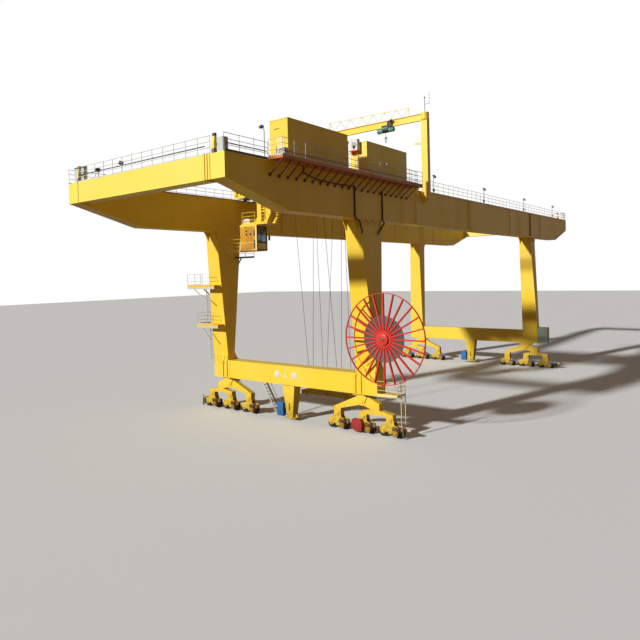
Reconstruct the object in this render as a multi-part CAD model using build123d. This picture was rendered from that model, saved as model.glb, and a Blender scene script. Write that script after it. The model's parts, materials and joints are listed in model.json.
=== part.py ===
from build123d import *
import math
import os

# Double girder gantry crane for containers, as a 1:2 scale model, in millimetres.
# X runs along the girders, from the end with the operator's cabin. Y runs along the travel rails.
# Z = 0 is the top of the travel rails, and X = Y = 0 is midway between the two rails.
# "Near" is the leg frame at the cabin end. "Left" lies towards +Y and "right" towards -Y.

# Portal
gauge = 20000
sill_length = 9590
sill_bottom = 1635
sill_depth = 865
sill_width_near = 660
sill_width_far = 440
band = 14
rib = 24

# Box girders
girder_bottom = 8790
girder_depth = 1600
girder_end_depth = 790
girder_gap = 7590
girder_width = 650
overhang_near = 7960
overhang_far = 8240
taper_near = 2940
taper_far = 2770
flange_lip = 30
flange_thickness = 36
splice_offsets = (3920, 9850, 16000, 21860)
splice_width = 130
tie_width = 560
tie_plate = 24

# Legs: the width is along X, at the foot on the sill and at the head under the girder
leg_foot_near = 460
leg_head_near = 1590
leg_head_offset_near = -75
leg_foot_far = 380
leg_head_far = 850
leg_head_offset_far = -125
leg_flare_height = 360
leg_head_depth = 745
leg_neck = 150
leg_flange = 36
leg_flange_lip = 40
leg_cap_reach = 240
gusset_height = 420
seam_rib_height = 230
flange_rib_height = 150

# Travel gear: three two-wheel bogies under each corner
bogie_pitch = 1300
bogie_inset = 845
bogie_top = 700
bogie_length = 960
bogie_width = 250
bogie_round = 35
wheelbase = 650
wheel_radius = 200
wheel_width = 110
flange_height = 22
well_width = 180
hub_radius = 70
hub_cover = 30
axle_radius = 45
equalizer_width = 270
equalizer_seat = 1010
main_pin_z = 1340
pin_head = 62
cheek = 23
lug = 45
saddle = 90
motor_radius = 96
motor_length = 300
motor_z = 400
gearbox_width = 130
clamp_width = 490
clamp_height = 480
buffer_z = 350
buffer_length = 420

# Tie-down post under the middle of each sill
post_top_along = 720
post_top_across = 480
post_foot = 330
post_bottom = 110
tie_pin_radius = 60
tie_pin_length = 70

# Trolley
rail_height = 60
rail_width = 44
rail_inset = 75
stop_height = 640
stop_length = 120
stop_inset = 60
stop_buffer = 210
trolley_park = 2850
trolley_length = 4700
trolley_wheelbase = 3200
trolley_wheel_radius = 160
axle_box_drop = 64
carriage_width = 170
carriage_height = 300
end_beam_inset = 250
end_beam_width = 340
machinery_beam_y = 1500
machinery_beam_width = 180
deck_plate = 20
hoist_offset = 250
drum_inset = 750
drum_radius = 250
drum_length = 2300
drum_height = 420
sheave_radius = 130
sheave_width = 50
sheave_cheek = 15
sheave_beam = 120
sheave_drop = 336

# Load
spreader_length = 3030
spreader_width = 1220
spreader_bottom = 620
spreader_height = 260
spreader_beam = 110
lock_pin = 26
lock_inset = 60
rope_radius = 9
rope_gap = 0.3
rope_x = 560
rope_y = 870
sheave_gap = 40
inner_lead = 350
headblock_beam = 140
sheave_lift = 610

# Platform and houses on the right girder
platform_inset = 1960
platform_length = 9450
platform_edge = 615
platform_gap = 215
deck = 90
bracket_pitch = 450
bracket_drop = 480
house_gap = 30
house_depth = 800
house_height = 1330
house_large = (530, 3440)
house_small = (5280, 3140)
roof_edge = 12
door_width = 360
door_height = 640
cooler_low = 270
cooler_tall = 440

# Railings
rail_post = 16
railing_height = 560
post_pitch = 575
toe_height = 50

# Service jib
jib_offset = 4675
column_width = 250
column_depth = 315
column_foot = 340
column_height = 3310
slew_radius = 190
slew_height = 350
pivot_radius = 80
jib_reach = 5600
jib_beam_width = 130
jib_beam_depth = 320
jib_flange = 16
jib_lift = 10
truss_peak = 870
truss_height = 400
truss_end_height = 490
truss_panels = 7
truss_bar = 18
hoist_reach = 2150
bearing_gap = 0.3

# Cable reel
reel_offset = 850
reel_stand_off = 715
reel_height = 1530
reel_radius = 1800
reel_spokes = 24
reel_hub = 230
reel_hub_half = 120
hub_plate = 640
spoke = 22
cable_slot = 30
cable_inner = 450
cable_outer = 930
shaft_radius = 50
running_fit = 0.05

# Operator's cabin, hung from the trolley
cabin_gap = 700
cabin_length = 700
cabin_width = 1050
cabin_drop = 1040
cabin_height = 1190
cabin_wall = 30
cabin_side_gap = 665
balcony_width = 980
hanger = 80
hanger_column = 120
column_gap = 40
column_depth_inner = 250
column_depth_outer = 170
hanger_span = 860
hanger_inset = 26
ladder_rise = 450
outrigger = 180
outrigger_drop = 460
glass_sill = 420
glass_height = 690
knee_sill = 60
knee_height = 310

# Landings, ladders, cabinets and lamps
landings = ((1730, 925), (3650, 1375))
landing_width = 850
boarding_drop = 1270
boarding_strut = 900
boarding_length = 800
boarding_reach = 380
rung_pitch = 150
ladder_width = 230
stringer = 24
rung = 14
cage_radius = 340
hoop_pitch = 300
hoop_band = 30
reel_landing_width = 950
cabinet_width = 380
cabinet_height = 600
lamp_offsets = (5900, 12100, 18800, 25000)
left_lamps = ((1260, 710), (2360, 1150), (4000, 850))
lamp_height = 850
duct = 60
duct_inset = 1750
duct_drop = 390
cable_radius = 20
cable_sag = 170
duct_offset = 950

near_rail = -gauge / 2
far_rail = gauge / 2
girder_top = girder_bottom + girder_depth
girder_x0 = near_rail - overhang_near
girder_x1 = far_rail + overhang_far
girder_inner = girder_gap / 2
girder_outer = girder_inner + girder_width
sill_end = sill_length / 2
sill_top = sill_bottom + sill_depth
near_face = near_rail - sill_width_near / 2
bogie_middle = sill_end - bogie_inset
rail_y = girder_inner + rail_inset
rail_top = girder_top + rail_height
deck_top = girder_top + deck
carriage_bottom = rail_top + trolley_wheel_radius * 2 - axle_box_drop * 3.5
trolley_top = carriage_bottom + carriage_height
trolley_x = near_rail + trolley_park
trolley_x0 = trolley_x - trolley_length / 2
trolley_x1 = trolley_x + trolley_length / 2
hoist_x = trolley_x + hoist_offset
drum_x = trolley_x - drum_inset
outer_sheave = trolley_length / 2 - end_beam_inset - end_beam_width / 2 - sheave_radius - sheave_gap
outer_lead = outer_sheave - hoist_offset - rope_x
upper_sheave_z = trolley_top - sheave_drop
spreader_top = spreader_bottom + spreader_height
lower_sheave_z = spreader_top + sheave_lift
platform_x0 = girder_x0 + platform_inset
platform_x1 = platform_x0 + platform_length
platform_outer = girder_outer + platform_edge
platform_inner = girder_inner + platform_gap
house_inner = platform_inner + house_gap
jib_x = near_rail + jib_offset
jib_y = -girder_outer - column_depth / 2
column_top = girder_top + column_height
slew_z = column_top + bearing_gap
jib_bottom = slew_z + jib_lift
reel_x = near_rail - reel_offset
reel_y = -sill_end - reel_stand_off
reel_z = sill_top + reel_height
cabin_x1 = trolley_x0 - cabin_gap
cabin_x0 = cabin_x1 - cabin_length
cabin_y1 = girder_inner - cabin_side_gap - balcony_width
cabin_y0 = cabin_y1 - cabin_width
cabin_bottom = girder_bottom - cabin_drop
cabin_top = cabin_bottom + cabin_height
outrigger_z = girder_top - outrigger_drop
walkway = girder_outer - 20


def block(x0, x1, y0, y1, z0, z1):
    """A rectangular block between two corners."""
    middle = ((x0 + x1) / 2, (y0 + y1) / 2, (z0 + z1) / 2)
    return Pos(*middle) * Box(abs(x1 - x0), abs(y1 - y0), abs(z1 - z0))


def bar(start, end, width, depth):
    """A straight bar of rectangular section between two points."""
    axis = Vector(*end) - Vector(*start)
    side = axis.cross(Vector(0, 0, 1))
    if side.length < 1:
        side = Vector(1, 0, 0)
    plane = Plane(origin=start, x_dir=side, z_dir=axis)
    return extrude(plane * Rectangle(width, depth), amount=axis.length)


def rod(start, end, radius):
    """A round rod between two points."""
    axis = Vector(*end) - Vector(*start)
    return extrude(Plane(origin=start, z_dir=axis) * Circle(radius), amount=axis.length)


def outline(points, radius=0):
    """A flat face with these corners, all rounded alike."""
    face = make_face(Polyline(*points, close=True))
    return fillet(face.vertices(), radius) if radius else face


def slab_xz(face, y0, y1):
    """A plate whose outline lies in the XZ plane, between two values of Y."""
    start = Pos(0, min(y0, y1), 0) * (Plane.XZ * face)
    return extrude(start, amount=abs(y1 - y0), dir=(0, 1, 0))


def slab_yz(face, x0, x1):
    """A plate whose outline lies in the YZ plane, between two values of X."""
    start = Pos(min(x0, x1), 0, 0) * (Plane.YZ * face)
    return extrude(start, amount=abs(x1 - x0), dir=(1, 0, 0))


def level_face(z, x0, x1, y0, y1):
    """A horizontal rectangle, as one section of a tapered box."""
    corners = [(x0, y0, z), (x1, y0, z), (x1, y1, z), (x0, y1, z)]
    return make_face(Polyline(*corners, close=True))


def other_side(piece):
    """The same piece on the right of the crane."""
    return piece.mirror(Plane.XZ)


def joined(pieces):
    """One solid from pieces that meet."""
    first, *others = pieces
    return first.fuse(*others) if others else first


def largest(piece):
    """The biggest solid of a shape that a cut has parted."""
    return max(piece.solids(), key=lambda solid: solid.volume)


def spaced(start, end, count):
    """Evenly spaced values from start to end."""
    return [start + (end - start) * i / (count - 1) for i in range(count)]


def save(name, *solids):
    """Write one node, with each solid kept apart."""
    members = []
    for piece in solids:
        members.extend(piece.solids())
    shape = members[0] if len(members) == 1 else Compound(children=members)
    shape.label = name
    export_step(shape, f"parts/{name}.step")


def girder_outline():
    """The girder's side: full depth over the portal, tapered at both ends."""
    end_bottom = girder_top - girder_end_depth
    return outline([
        (girder_x0, girder_top),
        (girder_x0, end_bottom),
        (girder_x0 + taper_near, girder_bottom),
        (girder_x1 - taper_far, girder_bottom),
        (girder_x1, end_bottom),
        (girder_x1, girder_top),
    ])


def girder():
    """The left box girder: its flanges stand proud of the two webs, with a band at each splice."""
    side = girder_outline()
    web = offset(side, amount=-flange_thickness, kind=Kind.INTERSECTION)
    body = slab_xz(side, girder_inner, girder_outer)
    body -= slab_xz(web, girder_inner, girder_inner + flange_lip)
    body -= slab_xz(web, girder_outer - flange_lip, girder_outer)
    for along in splice_offsets:
        x = near_rail + along
        body += block(x - splice_width / 2, x + splice_width / 2, girder_inner + band,
                      girder_outer - band, girder_bottom + 1, girder_top - 1)
    return body


def end_tie(x_end, inward):
    """The box beam that closes the girder ends, with its bolted end plates."""
    bottom = girder_top - girder_end_depth
    x_in = x_end + inward * tie_width
    beam = block(x_end, x_in, -girder_inner, girder_inner, bottom, girder_top)
    for side in (-1, 1):
        beam += block(x_end - inward * tie_plate, x_in + inward * tie_plate, side * girder_inner,
                      side * (girder_inner - 1.5 * tie_plate), bottom - tie_plate, girder_top)
    return beam


def leg(x_rail, sill_width, foot, head, head_offset):
    """The left leg of a frame: a tapered box, flush with the sill face towards the cabin end."""
    x_foot = x_rail - sill_width / 2
    x_head = x_rail + head_offset - head / 2
    y_head = girder_inner + leg_head_depth
    knee = sill_top + leg_flare_height
    flange_z = girder_bottom - leg_neck
    knee_face = level_face(knee, x_foot, x_foot + foot, girder_inner, sill_end)
    shaft = loft([knee_face, level_face(flange_z, x_head, x_head + head, girder_inner, y_head)], ruled=True)
    flare = loft([level_face(sill_top, x_foot, x_foot + sill_width, girder_inner, sill_end),
                  knee_face], ruled=True)
    neck = block(x_head, x_head + head, girder_inner, girder_outer, flange_z, girder_bottom)
    flange = block(x_head - leg_flange_lip, x_head + head + leg_flange_lip, girder_inner - leg_flange_lip,
                   y_head + leg_flange_lip, flange_z - leg_flange / 2, flange_z + leg_flange / 2)
    parts = [shaft, flare, neck, flange]
    parts += leg_cap(x_head, x_head + head)
    parts += leg_ribs(x_foot, x_head, head, y_head, flange_z)
    return joined(parts)


def leg_cap(x0, x1):
    """The plate that spreads a leg's head under the girder, and its gussets."""
    low = girder_bottom - leg_cap_reach / 6
    pieces = [block(x0 - leg_cap_reach, x1 + leg_cap_reach, girder_inner, girder_outer, low, girder_bottom)]
    for tip, edge in ((x0 - leg_cap_reach, x0), (x1 + leg_cap_reach, x1)):
        gusset = outline([(tip, low), (edge, low), (edge, low - gusset_height)])
        for y in (girder_inner + 2 * rib, girder_outer - 3 * rib):
            pieces.append(slab_xz(gusset, y, y + rib))
    return pieces


def leg_ribs(x_foot, x_head, head, y_head, flange_z):
    """Short ribs across the seam over the sill, and on both sides of the bolted flange."""
    pieces = []
    for y in spaced(girder_inner + 2 * rib, sill_end - 2 * rib, 5):
        pieces.append(block(x_foot - rib, x_foot + rib, y - rib / 4, y + rib / 4,
                            sill_top + 1, sill_top + seam_rib_height))
    for x in spaced(x_head + 2 * rib, x_head + head - 2 * rib, 4):
        pieces.append(block(x - rib / 4, x + rib / 4, y_head - rib, y_head + leg_flange_lip,
                            flange_z - flange_rib_height, flange_z))
        pieces.append(block(x - rib / 4, x + rib / 4, girder_outer - rib, y_head,
                            flange_z, girder_bottom - leg_cap_reach / 6))
    return pieces


def sill(x_rail, width):
    """The sill beam of one leg frame, with bands at the legs and lugs for the equalizers."""
    x0 = x_rail - width / 2
    x1 = x_rail + width / 2
    lug_top = sill_bottom - saddle
    parts = [block(x0, x1, -sill_end, sill_end, sill_bottom, sill_top)]
    for side in (-1, 1):
        for along in (girder_inner - 4 * rib, girder_inner + leg_head_depth / 2):
            y = side * along
            parts.append(block(x0 - band, x1 + band, y - rib / 2, y + rib / 2,
                               sill_bottom + 1, sill_top - 1))
        for along in spaced(girder_inner + 2 * rib, sill_end - 2 * rib, 5):
            parts.append(block(x0 - rib, x0 + rib, side * along - rib / 4, side * along + rib / 4,
                               sill_top - seam_rib_height, sill_top - 1))
        y = side * bogie_middle
        parts.append(block(x_rail - 200, x_rail + 200, y - 420, y + 420, lug_top, sill_bottom))
        plate = outline([(y - 260, lug_top), (y + 260, lug_top), (y + 110, main_pin_z - 100),
                         (y - 110, main_pin_z - 100)])
        for cheek_side in (-1, 1):
            x_in = x_rail + cheek_side * equalizer_width / 2
            x_out = x_in + cheek_side * lug
            parts.append(slab_yz(plate, x_in, x_out))
            parts.append(rod((x_out, y, main_pin_z), (x_out + cheek_side * cheek, y, main_pin_z), pin_head))
    return joined(parts)


def hung_cheeks(x_rail, y, z):
    """The pinned cheeks of an equalizer, outside the piece that hangs in it."""
    pieces = []
    for side in (-1, 1):
        x_in = x_rail + side * (bogie_width / 2 + 2)
        x_out = x_rail + side * (equalizer_width / 2 + cheek)
        pieces.append(block(x_in, x_out, y - 95, y + 95, z - 100, z + 110))
        pieces.append(rod((x_out, y, z - 40), (x_out + side * cheek / 2, y, z - 40), pin_head))
    return pieces


def equalizers(x_rail):
    """The left main equalizer, and the smaller arch that carries the two outer bogies."""
    inner = bogie_middle - bogie_pitch
    outer = bogie_middle + bogie_pitch / 2
    last = bogie_middle + bogie_pitch
    x0 = x_rail - equalizer_width / 2
    x1 = x_rail + equalizer_width / 2
    crown = main_pin_z + 160
    main = outline([
        (bogie_middle - 250, crown), (bogie_middle + 330, crown),
        (outer + 170, crown - 220), (outer + 170, equalizer_seat), (outer - 170, equalizer_seat),
        (bogie_middle + 60, equalizer_seat + 120), (bogie_middle - 200, equalizer_seat + 120),
        (inner + 200, bogie_top + 200), (inner + 170, bogie_top), (inner - 170, bogie_top),
        (inner - 170, bogie_top + 260)])
    arch = outline([
        (outer - 170, equalizer_seat), (outer + 170, equalizer_seat), (last + 150, bogie_top + 200),
        (last + 150, bogie_top), (last - 150, bogie_top), (last - 230, bogie_top + 100),
        (bogie_middle + 230, bogie_top + 100), (bogie_middle + 150, bogie_top),
        (bogie_middle - 150, bogie_top), (bogie_middle - 150, bogie_top + 200)])
    long_arm = [slab_yz(main, x0, x1), *hung_cheeks(x_rail, inner, bogie_top)]
    for y in spaced(bogie_middle - 150, bogie_middle + 150, 3):
        long_arm.append(block(x0 - band, x0 + rib, y - rib / 4, y + rib / 4, equalizer_seat + 130,
                              main_pin_z - 110))
    short_arm = [slab_yz(arch, x0, x1), *hung_cheeks(x_rail, bogie_middle, bogie_top),
                 *hung_cheeks(x_rail, last, bogie_top)]
    return [joined(long_arm), joined(short_arm)]


def bogie(x_rail, y):
    """One two-wheel bogie frame: rounded side plates that reach down to the axles."""
    half = bogie_length / 2
    axle = wheelbase / 2
    hub = wheel_radius - 60
    side = outline([
        (y - 170, bogie_top), (y + 170, bogie_top), (y + 200, 500), (y + half, 420), (y + half, 230),
        (y + axle + 70, hub), (y + axle - 70, hub), (y + 130, 250), (y + 60, 130), (y - 60, 130),
        (y - 130, 250), (y - axle + 70, hub), (y - axle - 70, hub), (y - half, 230), (y - half, 420),
        (y - 200, 500)], bogie_round)
    frame = slab_yz(side, x_rail - bogie_width / 2, x_rail + bogie_width / 2)
    frame -= block(x_rail - well_width / 2, x_rail + well_width / 2, y - half - 1, y + half + 1, 0, 580)
    for along in (-axle, axle):
        for side_of in (-1, 1):
            x = x_rail + side_of * bogie_width / 2
            frame += rod((x, y + along, wheel_radius), (x + side_of * hub_cover, y + along, wheel_radius),
                         hub_radius)
    return frame


def wheel(x_rail, y):
    """A double-flanged travel wheel on its axle."""
    half = wheel_width / 2
    rim = wheel_radius + flange_height
    profile = outline([(0, -half), (rim, -half), (rim, -half + 14), (wheel_radius, -half + 18),
                       (wheel_radius, half - 18), (rim, half - 14), (rim, half), (0, half)])
    tyre = revolve(Plane.XZ * profile, Axis.Z) + Cylinder(axle_radius, well_width)
    return Pos(x_rail, y, wheel_radius) * Rot(0, 90, 0) * tyre


def drive(x_rail, y):
    """A geared travel motor on the cabin-end side of a bogie, with its motor lying along the rail."""
    x0 = x_rail - bogie_width / 2 - hub_cover
    x1 = x0 - gearbox_width
    case = outline([(y - 90, 90), (y + 90, 90), (y + 120, 250), (y + 100, 470), (y - 100, 540),
                    (y - 150, 470), (y - 120, 250)], 20)
    x = x0 - gearbox_width / 2 - 20
    motor = rod((x, y + 120, motor_z), (x, y - motor_length, motor_z), motor_radius)
    brake = rod((x, y - motor_length, motor_z), (x, y - motor_length - 50, motor_z), motor_radius - 14)
    box = block(x - motor_radius - 40, x, y - motor_length / 2 - 70, y - motor_length / 2 + 70,
                motor_z - 20, motor_z + 70)
    return joined([slab_yz(case, x1, x0), motor, brake, box])


def rail_clamp(x_rail):
    """The clamp that holds the parked crane to its rail, on the right middle bogie."""
    x0 = x_rail - bogie_width / 2 - hub_cover
    y0 = -bogie_middle + 440
    low = 100
    case = outline([(y0, low + 120), (y0, low + clamp_height - 60), (y0 - 60, low + clamp_height),
                    (y0 - clamp_width + 60, low + clamp_height),
                    (y0 - clamp_width, low + clamp_height - 120),
                    (y0 - clamp_width, low), (y0 - 120, low)], 20)
    body = slab_yz(case, x0 - 170, x0)
    jaw = block(x0 - 60, x0, y0 - clamp_width / 2 - 90, y0 - clamp_width / 2 + 90, 25, low + 40)
    return joined([body, jaw])


def travel_buffer(x_rail):
    """The tapered buffer beyond the left outer bogie, on a plate that two arms hold clear of the wheel."""
    y = bogie_middle + bogie_pitch + bogie_length / 2
    plate_y = y + 75
    half = bogie_width / 2
    face = Plane(origin=(x_rail, plate_y + 25, buffer_z), z_dir=(0, 1, 0))
    reach = buffer_length - 100
    parts = [block(x_rail - half, x_rail + half, plate_y, plate_y + 25, buffer_z - 250, buffer_z + 90),
             face * Pos(0, 0, reach / 2) * Cone(70, 40, reach)]
    for x_in, x_out in ((x_rail - half, x_rail - well_width / 2), (x_rail + well_width / 2, x_rail + half)):
        parts.append(block(x_in, x_out, y, plate_y, 250, 410))
    return joined(parts)


def anchor_post(x_rail, width):
    """The tie-down post under the middle of a sill, with its slot, foot and pin."""
    across = min(post_top_across, width) / 2
    half = post_foot / 2
    body = loft([level_face(post_bottom + 40, x_rail - half, x_rail + half, -half, half),
                 level_face(sill_bottom, x_rail - across, x_rail + across, -post_top_along / 2,
                            post_top_along / 2)], ruled=True)
    hole = outline([(-40, 420), (40, 420), (40, 800), (-40, 800)], 38)
    slot = slab_yz(hole, x_rail - 400, x_rail - half / 2)
    foot = block(x_rail - half - 45, x_rail + half + 45, -half - 200, half + 65,
                 post_bottom, post_bottom + 40)
    arm = outline([(-half - 200, post_bottom + 40), (-half - 200, 190), (-half, 330), (-half + 40, 150)])
    pin = rod((x_rail, 0, tie_pin_length / 2 + 5), (x_rail, 0, post_bottom + 10), tie_pin_radius)
    return joined([body - slot, foot, slab_yz(arm, x_rail - 30, x_rail + 30), pin])


def control_cabinet(x_rail, width, post):
    """A cabinet beside the tie-down post, on two arms from the post."""
    y0 = post_top_along / 2 - 20
    x0 = x_rail - min(post_top_across, width) / 2
    low = 165
    case = block(x0, x0 + 210, y0, y0 + cabinet_width, low, low + cabinet_height)
    roof = block(x0 - 12, x0 + 222, y0 - 12, y0 + cabinet_width + 12, low + cabinet_height,
                 low + cabinet_height + 16)
    arms = [block(x0 + 90, x0 + 120, post_foot / 2 - 60, y0 + 1, z, z + 40) for z in (low + 80, low + 400)]
    return joined([case, roof, *[largest(arm - post) for arm in arms]])


def railing(start, end, z, levels=(1.0, 0.68, 0.36)):
    """A straight railing between two plan points, with posts, bars and a toe plate."""
    (x0, y0), (x1, y1) = start, end
    length = math.hypot(x1 - x0, y1 - y0)
    ux, uy = (x1 - x0) / length, (y1 - y0) / length
    half = rail_post / 2
    count = max(2, round(length / post_pitch) + 1)
    pieces = []
    for along in spaced(half, length - half, count):
        x, y = x0 + ux * along, y0 + uy * along
        pieces.append(block(x - half, x + half, y - half, y + half, z, z + railing_height))
    for level in levels:
        top = z + railing_height * level
        pieces.append(block(x0 - uy * half, x1 + uy * half, y0 - ux * half, y1 + ux * half,
                            top - rail_post, top))
    thin = half / 2
    pieces.append(block(x0 - uy * thin, x1 + uy * thin, y0 - ux * thin, y1 + ux * thin, z, z + toe_height))
    return joined(pieces)


def side_platform():
    """The deck on brackets that carries the electrical houses."""
    parts = [block(platform_x0, platform_x1, -platform_outer, -platform_inner, girder_top, deck_top),
             block(platform_x0, platform_x1, -platform_outer, -platform_outer + 20,
                   girder_top - 40, deck_top)]
    foot_z = girder_top - bracket_drop
    count = int((platform_length - 120) / bracket_pitch) + 1
    for i in range(count):
        x = platform_x0 + 60 + i * bracket_pitch
        parts.append(bar((x, -girder_outer - 5, foot_z), (x, -platform_outer + 40, girder_top + 10), 36, 26))
        parts.append(block(x - 40, x + 40, -girder_outer - 12, -girder_outer + flange_lip,
                           foot_z - 50, foot_z + 50))
    return joined(parts)


def house(along, length):
    """A closed electrical house on a base frame, with a roof edge and a door in its end wall."""
    x0 = platform_x0 + along
    x1 = x0 + length
    y0 = -house_inner - house_depth
    y1 = -house_inner
    top = deck_top + house_height
    base = block(x0 + 20, x1 - 20, y0 + 20, y1 - 20, deck_top, deck_top + 60)
    walls = block(x0, x1, y0, y1, deck_top + 60, top - 30)
    roof = block(x0 - roof_edge, x1 + roof_edge, y0 - roof_edge, y1 + roof_edge, top - 30, top)
    low = deck_top + 100
    y_door = y0 + 160
    frame = block(x0 - 8, x0, y_door - 20, y_door + door_width + 20, low - 20, low + door_height + 20)
    frame -= block(x0 - 8, x0 - 1, y_door, y_door + door_width, low, low + door_height)
    hatch = block(x0 + length * 0.35, x0 + length * 0.65, y0 + 200, y1 - 200, top, top + 40)
    return joined([base, walls, roof, frame, hatch])


def cooler(x0, y0, z0, height):
    """An air conditioner with a round fan guard, seen from the cabin end."""
    z = z0 + height / 2
    case = block(x0, x0 + 180, y0, y0 + 370, z0, z0 + height)
    ring = rod((x0 - 10, y0 + 140, z), (x0, y0 + 140, z), 112)
    return joined([case, ring - rod((x0 - 11, y0 + 140, z), (x0 - 1, y0 + 140, z), 96)])


def air_conditioners():
    """One unit on the deck beside the large house, and one on a shelf on the small house."""
    x_small = platform_x0 + house_small[0]
    y = -house_inner - house_depth
    shelf_z = deck_top + house_height - 370
    on_wall = cooler(x_small - 230, y + 300, shelf_z + 30, cooler_tall)
    shelf = block(x_small - 250, x_small, y + 290, y + 690, shelf_z, shelf_z + 30)
    brace = outline([(x_small - 200, shelf_z), (x_small, shelf_z), (x_small, shelf_z - 150)])
    arms = [slab_xz(brace, y + along, y + along + 14) for along in (320, 640)]
    foot_x = platform_x0 + 300
    feet = [block(foot_x + dx, foot_x + dx + 30, y - 40, y + 310, deck_top, deck_top + 40)
            for dx in (20, 130)]
    on_deck = joined([cooler(foot_x, y - 30, deck_top + 40, cooler_low), *feet])
    return [joined([on_wall, shelf, *arms]), on_deck]


def trolley_rail():
    """The left trolley rail, with a stop and a buffer at each end."""
    parts = [block(girder_x0 + stop_inset + stop_length, girder_x1 - stop_inset - stop_length,
                   rail_y - rail_width / 2, rail_y + rail_width / 2, girder_top, rail_top)]
    z = carriage_bottom + carriage_height / 2
    for x, inward in ((girder_x0 + stop_inset, 1), (girder_x1 - stop_inset, -1)):
        face = x + inward * stop_length
        post = outline([(x, girder_top), (face, girder_top), (face, girder_top + stop_height),
                        (x + inward * 50, girder_top + stop_height), (x, girder_top + stop_height / 2)])
        parts.append(slab_xz(post, rail_y - 60, rail_y + 60))
        parts.append(rod((face, rail_y, z), (face + inward * stop_buffer, rail_y, z), 55))
    return joined(parts)


def sheave_beams():
    """Where the upper sheaves hang: further out than each lower sheave, and further in."""
    places = []
    for side in (-1, 1):
        places.append(hoist_x + side * (rope_x + outer_lead))
        places.append(hoist_x + side * (rope_x - inner_lead))
    return places


def trolley_frame():
    """Carriages on the rails, end beams, machinery beams and the beams over the sheaves."""
    half = carriage_width / 2
    parts = []
    for side in (-1, 1):
        y = side * rail_y
        ends = outline([(trolley_x0, carriage_bottom + 80), (trolley_x0 + 120, carriage_bottom),
                        (trolley_x1 - 120, carriage_bottom), (trolley_x1, carriage_bottom + 80),
                        (trolley_x1, trolley_top), (trolley_x0, trolley_top)])
        parts.append(slab_xz(ends, y - half, y + half))
        y = side * machinery_beam_y
        parts.append(block(trolley_x0 + end_beam_inset, trolley_x1 - end_beam_inset,
                           y - machinery_beam_width / 2, y + machinery_beam_width / 2,
                           carriage_bottom, trolley_top))
    for x in (trolley_x0 + end_beam_inset, trolley_x1 - end_beam_inset):
        parts.append(block(x - end_beam_width / 2, x + end_beam_width / 2, -rail_y, rail_y,
                           carriage_bottom - 60, trolley_top))
    for x in sheave_beams():
        parts.append(block(x - 60, x + 60, -machinery_beam_y, machinery_beam_y,
                           trolley_top - sheave_beam, trolley_top))
    frame = joined(parts)
    pocket = trolley_wheel_radius + 40
    for side in (-1, 1):
        y = side * rail_y
        for x in (trolley_x - trolley_wheelbase / 2, trolley_x + trolley_wheelbase / 2):
            frame -= block(x - pocket, x + pocket, y - 45, y + 45,
                           0, rail_top + 2 * trolley_wheel_radius + 20)
    return frame


def trolley_wheel(x, y):
    """A trolley wheel with its axle."""
    shape = Cylinder(trolley_wheel_radius, 70) + Cylinder(28, 90)
    return Pos(x, y, rail_top + trolley_wheel_radius) * Rot(90, 0, 0) * shape


def trolley_deck():
    """Floor plates on the trolley, open in the middle under the drum."""
    floor = block(trolley_x0, trolley_x1, -rail_y, rail_y, trolley_top, trolley_top + deck_plate)
    floor -= block(drum_x - 260, drum_x + 260, -drum_length / 2 + 80, drum_length / 2 - 80,
                   trolley_top - 1, trolley_top + deck_plate + 1)
    return floor


def winch():
    """The hoist drum on its bearings, with a gearbox, a motor and a brake on a bed frame."""
    bed = trolley_top + deck_plate
    z = bed + drum_height
    half = drum_length / 2
    parts = [rod((drum_x, -half, z), (drum_x, half, z), drum_radius)]
    for y in (-half, half - 30):
        parts.append(rod((drum_x, y, z), (drum_x, y + 30, z), drum_radius + 60))
    bearing = outline([(drum_x - 300, bed), (drum_x + 300, bed),
                       (drum_x + 120, z + 110), (drum_x - 120, z + 110)])
    parts.append(slab_xz(bearing, -half - 130, -half))
    case = outline([(drum_x - 280, bed), (drum_x + 900, bed), (drum_x + 900, z - 60),
                    (drum_x + 300, z + 200), (drum_x - 280, z + 200)], 40)
    parts.append(slab_xz(case, half, half + 320))
    motor_x = drum_x + 660
    motor_z = bed + 270
    parts.append(rod((motor_x, half - 900, motor_z), (motor_x, half, motor_z), 150))
    parts.append(rod((motor_x, half - 980, motor_z), (motor_x, half - 900, motor_z), 165))
    parts.append(rod((motor_x, half - 160, motor_z), (motor_x, half - 120, motor_z), 230))
    parts.append(block(motor_x - 120, motor_x + 120, half - 850, half - 250, bed, motor_z - 100))
    return joined(parts)


def trolley_drive(side):
    """A geared motor on the outside of a carriage."""
    x = trolley_x + side * trolley_wheelbase / 2
    y = rail_y - carriage_width / 2
    z = rail_top + trolley_wheel_radius
    case = slab_xz(outline([(x - 90, z - 110), (x + 90, z - 110), (x + 90, z + 120), (x - 90, z + 120)], 30),
                   y - 160, y)
    return joined([case, rod((x, y - 80, z), (x - side * 420, y - 80, z), 75)])


def sheave(x, y, z, housing_top):
    """A rope sheave between two plates that hang from the beam over it, or stand on the headblock."""
    half = sheave_width / 2
    disc = rod((x, y - half, z), (x, y + half, z), sheave_radius)
    disc -= rod((x, y - half, z), (x, y - half + 8, z), sheave_radius - 35)
    disc -= rod((x, y + half - 8, z), (x, y + half, z), sheave_radius - 35)
    low = min(z - 60, housing_top)
    high = max(z + 60, housing_top)
    plates = [block(x - 60, x + 60, y + side * half, y + side * (half + sheave_cheek), low, high)
              for side in (-1, 1)]
    axle = rod((x, y - half - 2 * sheave_cheek, z), (x, y + half + 2 * sheave_cheek, z), 32)
    return joined([disc, *plates, axle])


def sheaves(columns, z, housing_top):
    return [sheave(x, y, z, housing_top) for x in columns for y in (-rope_y, rope_y)]


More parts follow.
